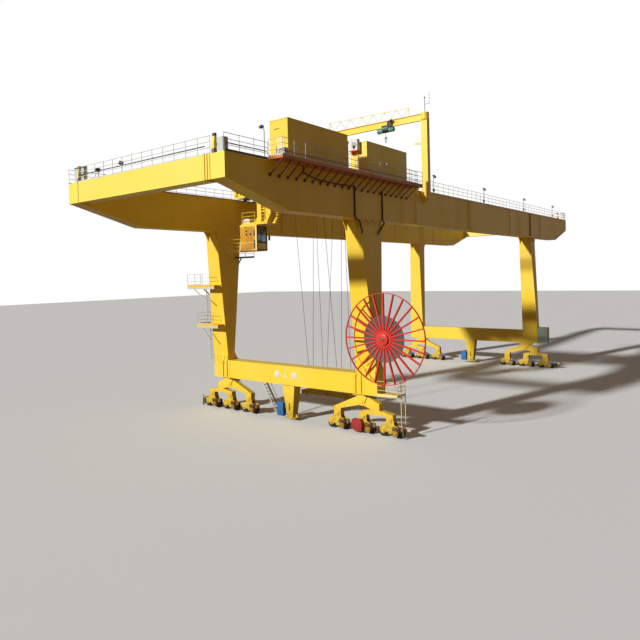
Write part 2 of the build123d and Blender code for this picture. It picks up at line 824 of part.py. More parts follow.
def rope(x_low, x_high, y, side):
    """One fall, which touches the lower and the upper sheave on the same side."""
    rise = upper_sheave_z - lower_sheave_z
    run = x_high - x_low
    length = math.hypot(run, rise)
    reach = sheave_radius + rope_radius + rope_gap
    dx = side * reach * rise / length
    dz = -side * reach * run / length
    start = (x_low + dx, y, lower_sheave_z + dz)
    return rod(start, (x_high + dx, y, upper_sheave_z + dz), rope_radius)


def ropes():
    """Eight falls: from each lower sheave one leans out and one leans in."""
    falls = []
    for side in (-1, 1):
        x = hoist_x + side * rope_x
        for y in (-rope_y, rope_y):
            falls.append(rope(x, x + side * outer_lead, y, side))
            falls.append(rope(x, x - side * inner_lead, y, -side))
    return falls


def headblock():
    """The lower sheave frame that the spreader is pinned to."""
    low = spreader_top + 160
    high = low + headblock_beam
    parts = []
    for x in (hoist_x - rope_x, hoist_x + rope_x):
        parts.append(block(x - 60, x + 60, -rope_y - 200, rope_y + 200, low, high))
    for y in (-rope_y, 0, rope_y):
        side = outline([(hoist_x - rope_x - 60, high), (hoist_x - rope_x, low), (hoist_x + rope_x, low),
                        (hoist_x + rope_x + 60, high)])
        parts.append(slab_xz(side, y - 60, y + 60))
    pins = spreader_width / 2 - spreader_beam - 60
    for x in (hoist_x - pins, hoist_x + pins):
        for y in (-rope_y, rope_y):
            parts.append(rod((x, y, spreader_top), (x, y, low), 50))
    return joined(parts)


def spreader():
    """The container frame: two long beams, end beams, corner boxes and a lock pin at each corner."""
    low = spreader_bottom
    high = spreader_top
    half = spreader_length / 2
    x0 = hoist_x - spreader_width / 2
    x1 = hoist_x + spreader_width / 2
    beam_x = spreader_width / 2 - spreader_beam - 60
    side = outline([(-half, high - 90), (-half, low), (half, low), (half, high - 90),
                    (half - 300, high), (-half + 300, high)])
    parts = []
    for x in (hoist_x - beam_x, hoist_x + beam_x):
        parts.append(slab_yz(side, x - spreader_beam / 2, x + spreader_beam / 2))
    for y in (-half, half - 90, -60):
        parts.append(block(x0, x1, y, y + 90, low, low + 160))
    for x in (x0 + lock_inset, x1 - lock_inset):
        for y in (-half + 45, half - 45):
            parts.append(block(x - lock_inset, x + lock_inset, y - 45, y + 45, low, low + 190))
            parts.append(rod((x, y, low - 50), (x, y, low), lock_pin))
    for x, turn in ((x0, -1), (x1, 1)):
        for y in (-half + 350, half - 350):
            flap = outline([(x, low + 40), (x, low + 150), (x + turn * 45, low + 110),
                            (x + turn * 60, low - 60), (x + turn * 35, low - 60)])
            arm = block(x, hoist_x + turn * beam_x, y - 30, y + 30, low + 50, low + 140)
            parts += [slab_xz(flap, y - 45, y + 45), arm]
    return joined(parts)


def window_boxes():
    """The front, knee and load-side windows, as the blocks cut through the walls."""
    t = cabin_wall
    low = cabin_bottom
    front = (cabin_x0 + 60, cabin_x1 - 60, cabin_y0, cabin_y0 + t,
             low + glass_sill, low + glass_sill + glass_height)
    knee = (cabin_x0 + 60, cabin_x1 - 60, cabin_y0, cabin_y0 + t,
            low + knee_sill, low + knee_sill + knee_height)
    load_side = (cabin_x1 - t, cabin_x1, cabin_y0 + 70, cabin_y0 + 780, low + glass_sill,
                 low + glass_sill + glass_height)
    return [front, knee, load_side]


def cabin():
    """The operator's cabin: a shell with a roof lip, three windows and a door onto the balcony."""
    t = cabin_wall
    shell = block(cabin_x0, cabin_x1, cabin_y0, cabin_y1, cabin_bottom, cabin_top)
    shell -= block(cabin_x0 + t, cabin_x1 - t, cabin_y0 + t, cabin_y1 - t, cabin_bottom + t, cabin_top - t)
    shell += block(cabin_x0 - 15, cabin_x1 + 15, cabin_y0 - 15, cabin_y1, cabin_top - 60, cabin_top)
    shell -= block(cabin_x0 + t, cabin_x1 - t, cabin_y0 + t, cabin_y1 - t, cabin_top - 61, cabin_top - t)
    for window in window_boxes():
        shell -= block(*window)
    shell -= block(cabin_x0 + 170, cabin_x0 + 530, cabin_y1 - 6, cabin_y1,
                   cabin_bottom + 40, cabin_top - 120)
    return shell


def cabin_hanger():
    """The frame that hangs the cabin: beams on its roof, four columns and outriggers to the trolley."""
    roof = cabin_top + cabin_wall
    inner = (cabin_y0 - column_gap - column_depth_inner, cabin_y0 - column_gap)
    outer = (cabin_y0 - hanger_span, cabin_y0 - hanger_span + column_depth_outer)
    slant = outline([(outer[0], roof + 400), (outer[1], roof + 340), (inner[0] - 230, roof + hanger),
                     (inner[0] - 230, roof), (inner[0] - 320, roof)])
    x_post = trolley_x0 + end_beam_inset
    parts = []
    for x in (cabin_x0 + hanger_inset, cabin_x1 - hanger_column):
        parts.append(block(x, x + hanger_column, inner[0], inner[1], roof, outrigger_z + outrigger))
        parts.append(block(x, x + hanger_column, outer[0], outer[1], roof + 370, outrigger_z + outrigger))
        parts.append(slab_yz(slant, x, x + hanger_column))
        parts.append(block(x, x + hanger_column, inner[0] - 300, cabin_y1 - 80, roof, roof + hanger))
        knee = outline([(inner[1] - 1, roof + hanger), (inner[1] + 260, roof + hanger),
                        (inner[1] - 1, roof + 330)])
        gusset = outline([(inner[1] - 1, outrigger_z + outrigger), (inner[1] + 280, outrigger_z + outrigger),
                          (inner[1] - 1, outrigger_z - 60)])
        parts += [slab_yz(face, x + 40, x + 70) for face in (knee, gusset)]
        parts.append(block(x, x + hanger_column, outer[0], inner[1],
                           outrigger_z, outrigger_z + outrigger / 2))
    for y0, y1 in (inner, outer):
        parts.append(block(cabin_x0 + hanger_inset, x_post + 60, y0, y1,
                           outrigger_z, outrigger_z + outrigger))
        parts.append(block(x_post - 60, x_post + 60, y0, y1, outrigger_z, carriage_bottom - 60))
    x_tie = cabin_x0 + hanger_inset + 2 * stringer
    for z in spaced(roof + 520, outrigger_z - 200, 3):
        parts.append(block(x_tie, x_tie + 24, outer[1] - 2, inner[0] + 2, z, z + 60))
    return joined(parts)


def ladder(x0, x1, y, z0, z1):
    """A vertical ladder whose rungs run along X."""
    half = stringer / 2
    pieces = [block(x, x + stringer, y - half, y + half, z0, z1) for x in (x0, x1 - stringer)]
    count = int((z1 - z0 - 80) / rung_pitch) + 1
    for i in range(count):
        z = z0 + 60 + i * rung_pitch
        pieces.append(block(x0, x1, y - rung / 2, y + rung / 2, z, z + rung))
    return pieces


def hoop(x, y, z):
    """One flat half hoop of a ladder cage, closed to the ladder by two straight ends."""
    half = hoop_band / 2
    ring = Cylinder(cage_radius, hoop_band) - Cylinder(cage_radius - 15, hoop_band)
    ring -= Pos(0, cage_radius, 0) * Box(3 * cage_radius, 2 * cage_radius, 2 * hoop_band)
    ends = []
    for side in (-1, 1):
        ends.append(block(side * (cage_radius - 15), side * cage_radius, -4, 12, -half, half))
        ends.append(block(side * (ladder_width / 2 - 10), side * cage_radius, -4, 12, -half, half))
    return Pos(x, y, z) * joined([ring, *ends])


def cage(x, y, z0, z1):
    """Hoops round a ladder, tied by three upright straps."""
    count = int((z1 - z0) / hoop_pitch) + 1
    pieces = [hoop(x, y, z0 + i * hoop_pitch) for i in range(count)]
    last = z0 + (count - 1) * hoop_pitch
    for angle in (-90, -150, -30):
        reach = cage_radius - 8
        px = x + reach * math.cos(math.radians(angle))
        py = y + reach * math.sin(math.radians(angle))
        pieces.append(rod((px, py, z0), (px, py, last), 6))
    return pieces


def cabin_access():
    """The roof plate with its caged ladder and guard, and the balcony at the door."""
    floor = cabin_top + cabin_wall
    ladder_y = cabin_y0 - column_gap - column_depth_inner - ladder_width / 2
    top = trolley_top + ladder_rise
    place = Pos(cabin_x0 + hanger_inset - stringer / 2, ladder_y, 0) * Rot(0, 0, -90)
    climb = [*ladder(-ladder_width / 2, ladder_width / 2, 0, floor, top),
             *cage(0, 0, outrigger_z + outrigger + 120, top - 100)]
    roof = [block(cabin_x0, cabin_x1, cabin_y0 - hanger_span + column_depth_outer, cabin_y1,
                  cabin_top, floor)]
    roof += [place * piece for piece in climb]
    guard = railing((cabin_x0 + 10, cabin_y0 + 80), (cabin_x0 + 10, cabin_y1 - 140), floor)
    roof.append(guard)
    deck_z = cabin_bottom + cabin_wall
    y_end = cabin_y1 + balcony_width
    balcony = [block(cabin_x0, cabin_x1, cabin_y1, y_end, cabin_bottom, deck_z),
               block(cabin_x0, cabin_x0 + 20, cabin_y1, y_end, cabin_bottom - 40, deck_z),
               railing((cabin_x0 + 10, cabin_y1), (cabin_x0 + 10, y_end), deck_z),
               railing((cabin_x1 - 10, cabin_y1), (cabin_x1 - 10, y_end), deck_z),
               railing((cabin_x0, y_end - 10), (cabin_x1, y_end - 10), deck_z)]
    return [joined(roof), joined(balcony)]


def reel():
    """A narrow cable reel: two layers of spokes between a hub and two rims."""
    layer = cable_slot / 2 + spoke / 2
    rim = Cylinder(reel_radius, spoke) - Cylinder(reel_radius - spoke, spoke)
    middle = (reel_hub + reel_radius) / 2 - 10
    parts = [Cylinder(reel_hub, 2 * reel_hub_half),
             Cylinder(cable_inner, cable_slot) - Cylinder(cable_inner - 20, cable_slot)]
    for side in (-1, 1):
        parts.append(Pos(0, 0, side * layer) * rim)
        parts.append(Pos(0, 0, side * (layer + spoke / 2 + 4)) * Cylinder(hub_plate / 2, 8))
    for i in range(reel_spokes):
        turn = Rot(0, 0, 360 * i / reel_spokes)
        for side in (-1, 1):
            arm = Box(reel_radius - reel_hub + 10, spoke, spoke)
            parts.append(turn * Pos(middle, 0, side * layer) * arm)
        parts.append(turn * Pos(reel_radius - spoke / 2 - 6, 0, 0) * Box(spoke, spoke, cable_slot))
    body = joined(parts) - Cylinder(shaft_radius + running_fit, 4 * reel_hub_half)
    return Pos(reel_x, reel_y, reel_z) * Rot(0, 90, 0) * body


def wound_cable():
    """The power cable wound in one layer between the spokes."""
    ring = Cylinder(cable_outer, cable_slot) - Cylinder(cable_inner, cable_slot)
    return Pos(reel_x, reel_y, reel_z) * Rot(0, 90, 0) * ring


def reel_bracket(leg_solid):
    """Arms from the leg to the reel's gearbox, with the shaft that the reel turns on."""
    x0 = reel_x + reel_hub_half + 60
    x1 = x0 + 560
    case = outline([(x0, reel_z - 160), (x0 + 60, reel_z - 220), (x1, reel_z - 220), (x1, reel_z + 220),
                    (x0 + 60, reel_z + 220), (x0, reel_z + 160)])
    box = slab_xz(case, reel_y - 200, reel_y + 200)
    cap_x = reel_x - reel_hub_half - 5
    shaft = rod((cap_x, reel_y, reel_z), (x0, reel_y, reel_z), shaft_radius)
    cap = rod((cap_x - 20, reel_y, reel_z), (cap_x, reel_y, reel_z), 85)
    motor = rod((x1, reel_y - 80, reel_z + 60), (x1 + 260, reel_y - 80, reel_z + 60), 85)
    into_leg = -sill_end + leg_foot_near
    arms = []
    for x in (x0 + 330, x0 + 510):
        arms.append(bar((x, into_leg, reel_z + 120), (x, reel_y, reel_z + 120), 80, 120))
        arms.append(bar((x, into_leg, reel_z - 1150), (x, reel_y + 60, reel_z - 160), 80, 90))
    solid = joined([box, *arms]) - leg_solid
    return joined([largest(solid), shaft, cap, motor])


def reel_landing():
    """The service landing at the right end of the near sill, with a guard and a ladder."""
    y1 = -sill_end
    y0 = y1 - reel_landing_width
    x0 = near_face
    x1 = near_face + sill_width_near
    z = sill_bottom + 40
    floor = z + 30
    parts = [block(x0, x1, y0, y1, z, floor),
             railing((x0 + 10, y0), (x0 + 10, y1), floor),
             railing((x0, y0 + 10), (x1, y0 + 10), floor)]
    parts += ladder(x1 - 400, x1 - 40, y0 - 10, 480, floor + railing_height)
    for x in (x0 + 30, x1 - 30):
        brace = outline([(y1, z), (y1, z - 40), (y0 + 60, z)])
        parts.append(slab_yz(brace, x - 20, x + 20))
    return joined(parts)


def sill_ladder():
    """The inclined ladder that hangs from the near sill beside the tie-down post."""
    top = (1570, sill_bottom)
    foot = (730, 340)
    x0 = near_rail - 300
    x1 = near_rail
    side = outline([(top[0] - 45, top[1]), (top[0] + 45, top[1]),
                    (foot[0] + 45, foot[1]), (foot[0] - 45, foot[1])])
    parts = [slab_yz(side, x0, x0 + 20), slab_yz(side, x1 - 20, x1)]
    steps = int((top[1] - foot[1]) / rung_pitch)
    for i in range(1, steps + 1):
        share = i / (steps + 1)
        y = foot[0] + (top[0] - foot[0]) * share
        z = foot[1] + (top[1] - foot[1]) * share
        parts.append(block(x0, x1, y - 50, y + 50, z - 7, z + 7))
    rise = 380
    for x in (x0 + 10, x1 - 10):
        parts.append(bar((x, foot[0] + 40, foot[1] + rise), (x, top[0] - 250, sill_bottom - 5), 16, 16))
        parts.append(block(x - 8, x + 8, foot[0] + 32, foot[0] + 48, foot[1] + 60, foot[1] + rise))
    return joined(parts)


def leg_face(z):
    """X of the near legs' cabin-end face at a height."""
    knee = sill_top + leg_flare_height
    head_z = girder_bottom - leg_neck
    x_head = near_rail + leg_head_offset_near - leg_head_near / 2
    return near_face + (x_head - near_face) * (z - knee) / (head_z - knee)


def leg_landings(leg_solid):
    """The two service landings on the outside of the near left leg, with a ladder between them."""
    made = []
    y0 = girder_inner + 60
    below = sill_top
    for rise, reach in landings:
        level = sill_top + rise
        y1 = girder_outer + reach
        x_face = leg_face(level)
        x0 = x_face - landing_width / 2
        x1 = x0 + landing_width
        floor = block(x0, x1, y0, y1, level, level + 50)
        floor += block(x0, x0 + 60, y0, y1, level - 130, level)
        for x in (x0 + 30, x_face + 200):
            floor += bar((x, girder_inner + 600, level - 750), (x, y1 - 250, level + 10), 40, 40)
        solid = largest(floor - leg_solid)
        guard = [railing((x0, y1 - 10), (x1, y1 - 10), level + 50),
                 railing((x0 + 10, y0 + 300), (x0 + 10, y1), level + 50)]
        climb = ladder(x1 - 380, x1 - 20, sill_end + 150, below + 10, level + 1)
        made.append(joined([solid, *guard, *climb]))
        below = level + 50
    return made


def boarding_landing(leg_solid):
    """The landing on the near left leg from which the operator steps onto the cabin's balcony."""
    z = girder_bottom - boarding_drop
    x1 = near_rail + leg_head_offset_near + leg_head_near / 2 + boarding_reach
    x0 = x1 - boarding_length
    y0 = girder_inner - cabin_side_gap + 80
    y1 = girder_inner + leg_head_depth - 60
    floor = block(x0, x1, y0, y1, z, z + 40)
    floor += bar((x0, girder_inner + 200, z - boarding_strut),
                 (x1 - 150, girder_inner + 200, z + 10), 40, 50)
    solid = max((floor - leg_solid).solids(), key=lambda piece: piece.bounding_box().max.X)
    guard = [railing((x1 - 10, y0), (x1 - 10, y1), z + 40),
             railing((x1 - boarding_reach, y1 - 10), (x1, y1 - 10), z + 40)]
    return joined([solid, *guard])


def jib_column():
    """The post of the service jib, seated on the girder's web, pointed at its foot."""
    x0 = jib_x - column_width / 2
    x1 = jib_x + column_width / 2
    y0 = -girder_outer - column_depth
    web = -girder_outer + flange_lip
    foot = girder_top - column_foot
    tip = outline([(web, foot - 230), (web, foot), (y0, foot)])
    parts = [block(x0, x1, y0, -girder_outer, foot, column_top),
             slab_yz(tip, x0, x1),
             block(x0, x1, -girder_outer, web, foot, girder_top - flange_thickness),
             rod((jib_x, jib_y, column_top), (jib_x, jib_y, slew_z + slew_height + 10), pivot_radius)]
    for side in (-1, 1):
        x_in = jib_x + side * column_width / 2
        high = girder_top - flange_thickness
        wing = outline([(x_in, high), (x_in + side * 170, high), (x_in, foot - 100)])
        parts.append(slab_xz(wing, web - 4, -girder_outer - 60))
    shelf = column_top - 1000
    arm = outline([(-girder_outer, shelf - 120), (-girder_outer, shelf), (-girder_outer + 420, shelf),
                   (-girder_outer + 420, shelf - 30)])
    parts.append(slab_yz(arm, jib_x - 50, jib_x + 50))
    return joined(parts)


def truss_chord(top, share):
    """Height of the truss's upper chord, at a share of the way from its peak to its far end."""
    return top + truss_height + (truss_end_height - truss_height) * share


def jib_truss(x, top, y_end):
    """One side of the light truss over the jib's beam: a tie, an upper chord, end posts and a zigzag."""
    half = truss_bar / 2
    peak = (jib_y + truss_peak, truss_chord(top, 0))
    heel = (jib_y + 60, slew_z + slew_height - truss_bar)
    far = truss_chord(top, 1)
    pieces = [bar((x, *heel), (x, *peak), truss_bar, truss_bar),
              bar((x, *peak), (x, y_end, far), truss_bar, truss_bar)]
    for y, z in (peak, (y_end, far)):
        pieces.append(block(x - half, x + half, y - half, y + half, top - 5, z + half))
    stations = spaced(peak[0], y_end, truss_panels + 1)
    for i in range(truss_panels):
        middle = (stations[i] + stations[i + 1]) / 2
        z = truss_chord(top, i / truss_panels)
        next_z = truss_chord(top, (i + 1) / truss_panels)
        pieces.append(bar((x, stations[i], z), (x, middle, top - 4), half, half))
        pieces.append(bar((x, middle, top - 4), (x, stations[i + 1], next_z), half, half))
    return pieces


def jib_beam():
    """The slewing head with its ring, and the I-section beam under its truss."""
    head = Pos(jib_x, jib_y, slew_z + slew_height / 2) * Cylinder(slew_radius, slew_height)
    ring = Pos(jib_x, jib_y, slew_z + 60) * Cylinder(slew_radius + 16, 40)
    y0 = jib_y + slew_radius - 30
    y1 = jib_y + jib_reach
    half = jib_beam_width / 2
    top = jib_bottom + jib_beam_depth
    parts = [head, ring,
             block(jib_x - half, jib_x + half, y0, y1, jib_bottom, jib_bottom + jib_flange),
             block(jib_x - half, jib_x + half, y0, y1, top - jib_flange, top),
             block(jib_x - 8, jib_x + 8, y0, y1, jib_bottom, top),
             block(jib_x - half, jib_x + half, y1 - 12, y1, jib_bottom, top)]
    for x in (jib_x - half + truss_bar, jib_x + half - truss_bar):
        parts += jib_truss(x, top, y1 - 40)
    for share in spaced(0, 1, truss_panels + 1):
        y = jib_y + truss_peak + (y1 - 40 - jib_y - truss_peak) * share
        z = truss_chord(top, share)
        parts.append(block(jib_x - half + truss_bar, jib_x + half - truss_bar, y - 6, y + 6, z - 6, z + 6))
    bore = Cylinder(pivot_radius + running_fit, slew_height + 20)
    return joined(parts) - Pos(jib_x, jib_y, slew_z + slew_height / 2) * bore


def jib_hoist():
    """The rope hoist that runs on the jib beam's lower flange, with its hook block."""
    y = jib_y + hoist_reach
    half = jib_beam_width / 2
    tread = jib_bottom + jib_flange + bearing_gap
    roller = 32
    parts = []
    for side in (-1, 1):
        x_in = jib_x + side * (half + 6)
        x_out = x_in + side * 14
        plate = outline([(y - 190, jib_bottom - 30), (y - 190, tread + 90), (y + 190, tread + 90),
                         (y + 190, jib_bottom - 30), (y + 90, jib_bottom - 130),
                         (y - 90, jib_bottom - 130)], 20)
        parts.append(slab_yz(plate, x_in, x_out))
        for along in (-110, 110):
            z = tread + roller
            parts.append(rod((jib_x + side * 20, y + along, z), (x_in, y + along, z), roller))
    side_x = jib_x + half + 20
    parts.append(rod((side_x + 60, y - 40, tread + 170), (side_x + 60, y + 220, tread + 170), 70))
    parts.append(block(side_x - 10, side_x + 60, y - 60, y + 60, tread + 40, tread + 200))
    drum_z = jib_bottom - 130
    parts.append(rod((jib_x, y - 330, drum_z), (jib_x, y + 330, drum_z), 110))
    parts.append(rod((jib_x, y - 480, drum_z), (jib_x, y - 330, drum_z), 85))
    parts.append(rod((jib_x, y + 330, drum_z), (jib_x, y + 430, drum_z), 130))
    parts.append(block(jib_x + 60, jib_x + 200, y + 40, y + 300, drum_z - 60, drum_z + 110))
    parts.append(rod((jib_x, y, drum_z - 330), (jib_x, y, drum_z - 90), 10))
    parts.append(block(jib_x - 35, jib_x + 35, y - 50, y + 50, drum_z - 420, drum_z - 320))
    hook = Pos(jib_x, y, drum_z - 480) * (Plane.YZ * (Circle(62) - Circle(38)))
    bend = extrude(hook, amount=12, both=True)
    bend -= block(jib_x - 20, jib_x + 20, y + 10, y + 80, drum_z - 480, drum_z - 410)
    parts.append(bend)
    return joined(parts)


def signal_mast():
    """The lamp mast and bent antenna on top of the jib's pivot."""
    z = slew_z + slew_height + 10
    parts = [rod((jib_x, jib_y, z), (jib_x, jib_y, z + 700), 14),
             Pos(jib_x, jib_y, z + 700) * Sphere(38),
             rod((jib_x, jib_y, z + 380), (jib_x, jib_y - 240, z + 380), 9),
             rod((jib_x, jib_y - 240, z + 371), (jib_x, jib_y - 240, z + 900), 9)]
    return joined(parts)


def floodlight(x, y, z, height, side):
    """A lamp on a pole: a box at the pole's foot and a tilted head, turned to one side of the crane."""
    pole = rod((x, y, z), (x, y, z + height), 13)
    box = block(x - 45, x + 45, y - 35, y + 35, z + 120, z + 260)
    head = Pos(x, y + side * 45, z + height) * Rot(side * 35, 0, 0) * Box(190, 70, 150)
    return joined([pole, box, head])


def floodlights():
    """Lamps along both girders, all standing on the top flanges."""
    made = []
    for along in lamp_offsets:
        made.append(floodlight(near_rail + along, -walkway + 60, girder_top, lamp_height, -1))
    for along, height in left_lamps:
        made.append(floodlight(girder_x0 + along, walkway - 60, girder_top, height, 1))
    return made


def cable_ducts():
    """The cable slung under the platform, and the ducts that go down the right girder's outer web."""
    web = -girder_outer + flange_lip
    face = -girder_outer - 20
    high = girder_top - duct_drop
    x_start = platform_x0 + duct_inset
    x_turn = near_face - 740
    y = -girder_outer - cable_radius - 5
    path = [(x_start, y, girder_top), (x_start, y, high + cable_sag), (x_start + 970, y, high),
            (x_turn, y, high), (x_turn, web, high)]
    cable = [rod(a, b, cable_radius) for a, b in zip(path, path[1:])]
    cable += [Pos(*knot) * Sphere(cable_radius) for knot in path[1:-1]]
    duct_x = (x_turn - duct / 2, near_rail + duct_offset)
    drops = [block(x, x + duct, face, web, girder_bottom + duct, high + duct) for x in duct_x]
    return [joined([*cable, drops[0]]), drops[1],
            block(far_rail - 250, far_rail - 250 + duct, face, web, girder_bottom + duct,
                  girder_top - flange_thickness)]


def end_cabinets():
    """Switch cabinets at both ends of the girders, beside the trolley's stops."""
    x = girder_x0 + 60
    cabinet = block(x, x + 220, -girder_outer + 120, -girder_outer + 370, girder_top, girder_top + 470)
    beside_stop = rail_y + 90
    left = [block(x + 30, x + 180, y, y + 200, girder_top, girder_top + 600)
            for y in (beside_stop, girder_inner - 315)]
    far_x = girder_x1 - 300
    far = block(far_x, far_x + 180, -girder_outer + 60, -girder_outer + 290, girder_top, girder_top + 600)
    return [cabinet, *left, far]


def sill_end_cabinet():
    """The grey cabinet on a shelf at the right end of the far sill."""
    x0 = far_rail - sill_width_far / 2
    shelf = block(x0, x0 + sill_width_far, -sill_end - 650, -sill_end, sill_bottom, sill_bottom + 40)
    case = block(x0 + 10, x0 + sill_width_far - 10, -sill_end - 640, -sill_end - 30, sill_bottom + 40,
                 sill_bottom + 1080)
    return joined([shelf, case])


os.makedirs("parts", exist_ok=True)

left_girder = girder()
save("girder_left", left_girder)
save("girder_right", other_side(left_girder))
save("end_ties", end_tie(girder_x0, 1), end_tie(girder_x1, -1))
landing_leg = leg(near_rail, sill_width_near, leg_foot_near, leg_head_near, leg_head_offset_near)
reel_leg = other_side(landing_leg)
far_leg = leg(far_rail, sill_width_far, leg_foot_far, leg_head_far, leg_head_offset_far)
save("leg_near_left", landing_leg)
save("leg_near_right", reel_leg)
save("leg_far_left", far_leg)
save("leg_far_right", other_side(far_leg))
save("sill_near", sill(near_rail, sill_width_near))
save("sill_far", sill(far_rail, sill_width_far))

cabinets = []
for name, x_rail, width in (("near", near_rail, sill_width_near), ("far", far_rail, sill_width_far)):
    post = anchor_post(x_rail, width)
    cabinets.append(control_cabinet(x_rail, width, post))
    save("anchor_post_" + name, post)
    arms = equalizers(x_rail)
    frames, wheels, drives = [], [], []
    for step in (-1, 0, 1):
        y = bogie_middle + step * bogie_pitch
        frames.append(bogie(x_rail, y))
        wheels += [wheel(x_rail, y - wheelbase / 2), wheel(x_rail, y + wheelbase / 2)]
        drives += [drive(x_rail, y - wheelbase / 2), drive(x_rail, -y - wheelbase / 2)]
    save("equalizers_" + name, *arms, *map(other_side, arms))
    save("bogies_" + name, *frames, *map(other_side, frames))
    save("travel_wheels_" + name, *wheels, *map(other_side, wheels))
    save("travel_drives_" + name, *drives)

rails = (near_rail, far_rail)
buffers = [travel_buffer(x) for x in rails]
save("rail_clamps", rail_clamp(near_rail))
save("travel_buffers", *buffers, *map(other_side, buffers))
save("control_cabinets", *cabinets)
save("sill_ladder", sill_ladder())

save("side_platform", side_platform())
save("house_large", house(*house_large))
save("house_small", house(*house_small))
save("air_conditioners", *air_conditioners())
left_rail = trolley_rail()
save("trolley_rails", left_rail, other_side(left_rail))
save("railing_left", railing((girder_x0, walkway), (girder_x1, walkway), girder_top))
save("railing_right", railing((girder_x0, -walkway), (platform_x0, -walkway), girder_top),
     railing((jib_x + 400, -walkway), (girder_x1, -walkway), girder_top))
save("railing_platform", joined([
    railing((platform_x0, -platform_outer + 12), (platform_x1, -platform_outer + 12), deck_top),
    railing((platform_x0 + 12, -platform_outer), (platform_x0 + 12, -girder_outer), deck_top)]))
save("railing_ends", railing((girder_x0 + 30, -rail_y + 80), (girder_x0 + 30, rail_y - 80), girder_top),
     railing((girder_x1 - 30, -rail_y + 80), (girder_x1 - 30, rail_y - 80), girder_top))

save("reel_bracket", reel_bracket(reel_leg))
save("reel_landing", reel_landing())
save("cable_reel", reel())
save("wound_cable", wound_cable())
save("leg_landings", *leg_landings(landing_leg), boarding_landing(landing_leg))
save("jib_column", jib_column())
save("jib_beam", jib_beam())
save("jib_hoist", jib_hoist())
save("signal_mast", signal_mast())
save("floodlights", *floodlights())
save("cable_ducts", *cable_ducts())
save("end_cabinets", *end_cabinets(), sill_end_cabinet())

save("trolley_frame", trolley_frame())
save("trolley_deck", trolley_deck())
drives = [trolley_drive(side) for side in (-1, 1)]
save("hoist_winch", winch(), *drives, *map(other_side, drives))
axles = (trolley_x - trolley_wheelbase / 2, trolley_x + trolley_wheelbase / 2)
save("trolley_wheels", *[trolley_wheel(x, side * rail_y) for x in axles for side in (-1, 1)])
deck_z = trolley_top + deck_plate
save("trolley_railing", joined([
    railing((trolley_x1 - 10, -rail_y), (trolley_x1 - 10, rail_y), deck_z),
    railing((trolley_x0, -rail_y + 10), (trolley_x1, -rail_y + 10), deck_z),
    railing((trolley_x0, rail_y - 10), (trolley_x1, rail_y - 10), deck_z)]))
save("upper_sheaves", *sheaves(sheave_beams(), upper_sheave_z, trolley_top - sheave_beam))
save("hoist_ropes", *ropes())
over_load = (hoist_x - rope_x, hoist_x + rope_x)
save("lower_sheaves", *sheaves(over_load, lower_sheave_z, spreader_top + 160 + headblock_beam))
save("headblock", headblock())
save("spreader", spreader())
save("cabin", cabin())
save("cabin_glass", *[block(*window) for window in window_boxes()])
save("cabin_hanger", cabin_hanger())
save("cabin_access", *cabin_access())
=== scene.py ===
# %% [markdown]
# A rail-mounted gantry crane, dressed cell by cell.
# The CAD model gives every main shape. These cells load it, light it, paint it, and add what a CAD
# model leaves out: round handrails, bolts, window frames, wound cable and wear.
# Read each text cell first, then run the code cell under it and look at what it prints.

import json
import math

import bmesh
import bpy
from mathutils import Matrix, Vector


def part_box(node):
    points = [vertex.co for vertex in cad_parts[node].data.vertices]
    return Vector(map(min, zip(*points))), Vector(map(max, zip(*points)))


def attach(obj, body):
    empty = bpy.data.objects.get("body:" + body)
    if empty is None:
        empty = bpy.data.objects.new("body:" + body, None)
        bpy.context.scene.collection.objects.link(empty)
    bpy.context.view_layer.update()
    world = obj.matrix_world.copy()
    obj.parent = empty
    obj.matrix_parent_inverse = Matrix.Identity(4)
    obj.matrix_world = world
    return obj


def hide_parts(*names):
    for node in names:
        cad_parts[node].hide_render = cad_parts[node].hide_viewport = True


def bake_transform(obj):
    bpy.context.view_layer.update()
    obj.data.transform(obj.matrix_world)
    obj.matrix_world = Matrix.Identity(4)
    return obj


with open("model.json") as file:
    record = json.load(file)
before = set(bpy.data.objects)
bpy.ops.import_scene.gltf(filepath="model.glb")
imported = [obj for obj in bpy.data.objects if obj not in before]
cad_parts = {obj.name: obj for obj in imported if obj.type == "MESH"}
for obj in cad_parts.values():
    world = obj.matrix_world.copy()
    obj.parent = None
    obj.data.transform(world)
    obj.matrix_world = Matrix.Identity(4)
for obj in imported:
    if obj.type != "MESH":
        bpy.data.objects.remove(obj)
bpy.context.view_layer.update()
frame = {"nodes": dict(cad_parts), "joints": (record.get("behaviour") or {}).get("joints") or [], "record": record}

# %% [markdown]
# Pieces are placed from the CAD model, so that they sit on what carries them. A joint knows the axis
# that the reel or the jib turns about, a mount knows where the travel rails and the load are, and the
# box round a CAD shape gives its walls and floors. Boxes are rounded to a tenth of a millimetre, which
# removes the last digits that a mesh doesn't store exactly.

# %% Read the main places from the CAD model
def corners_of(node):
    """A CAD shape's lowest and highest corner, in metres."""
    return [[round(value, 4) for value in corner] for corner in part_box(node)]


joints = {joint["name"]: joint for joint in frame["joints"]}
mounts = {mount["name"]: mount["pos_m"] for mount in frame["record"]["mounts"]}
reel_x, reel_y, reel_z = joints["reel_spin"]["pos_m"]
jib_x, jib_y, _ = joints["jib_slew"]["pos_m"]
track_x = (mounts["tie_down_near"][0], mounts["tie_down_far"][0])
load_x = mounts["container_locks"][0]
girder_low, girder_high = corners_of("girder_left")
platform_low, platform_high = corners_of("side_platform")
deck_low, deck_high = corners_of("trolley_deck")
cabin_low, cabin_high = corners_of("cabin")
glass_low, glass_high = corners_of("cabin_glass")
girder_top, platform_top, deck_top = girder_high[2], platform_high[2], deck_high[2]
print("reel at", (reel_x, reel_y, reel_z), "jib at", (jib_x, jib_y), "travel rails at x", track_x)
print("heights: girders", girder_top, "platform", platform_top, "trolley deck", deck_top)

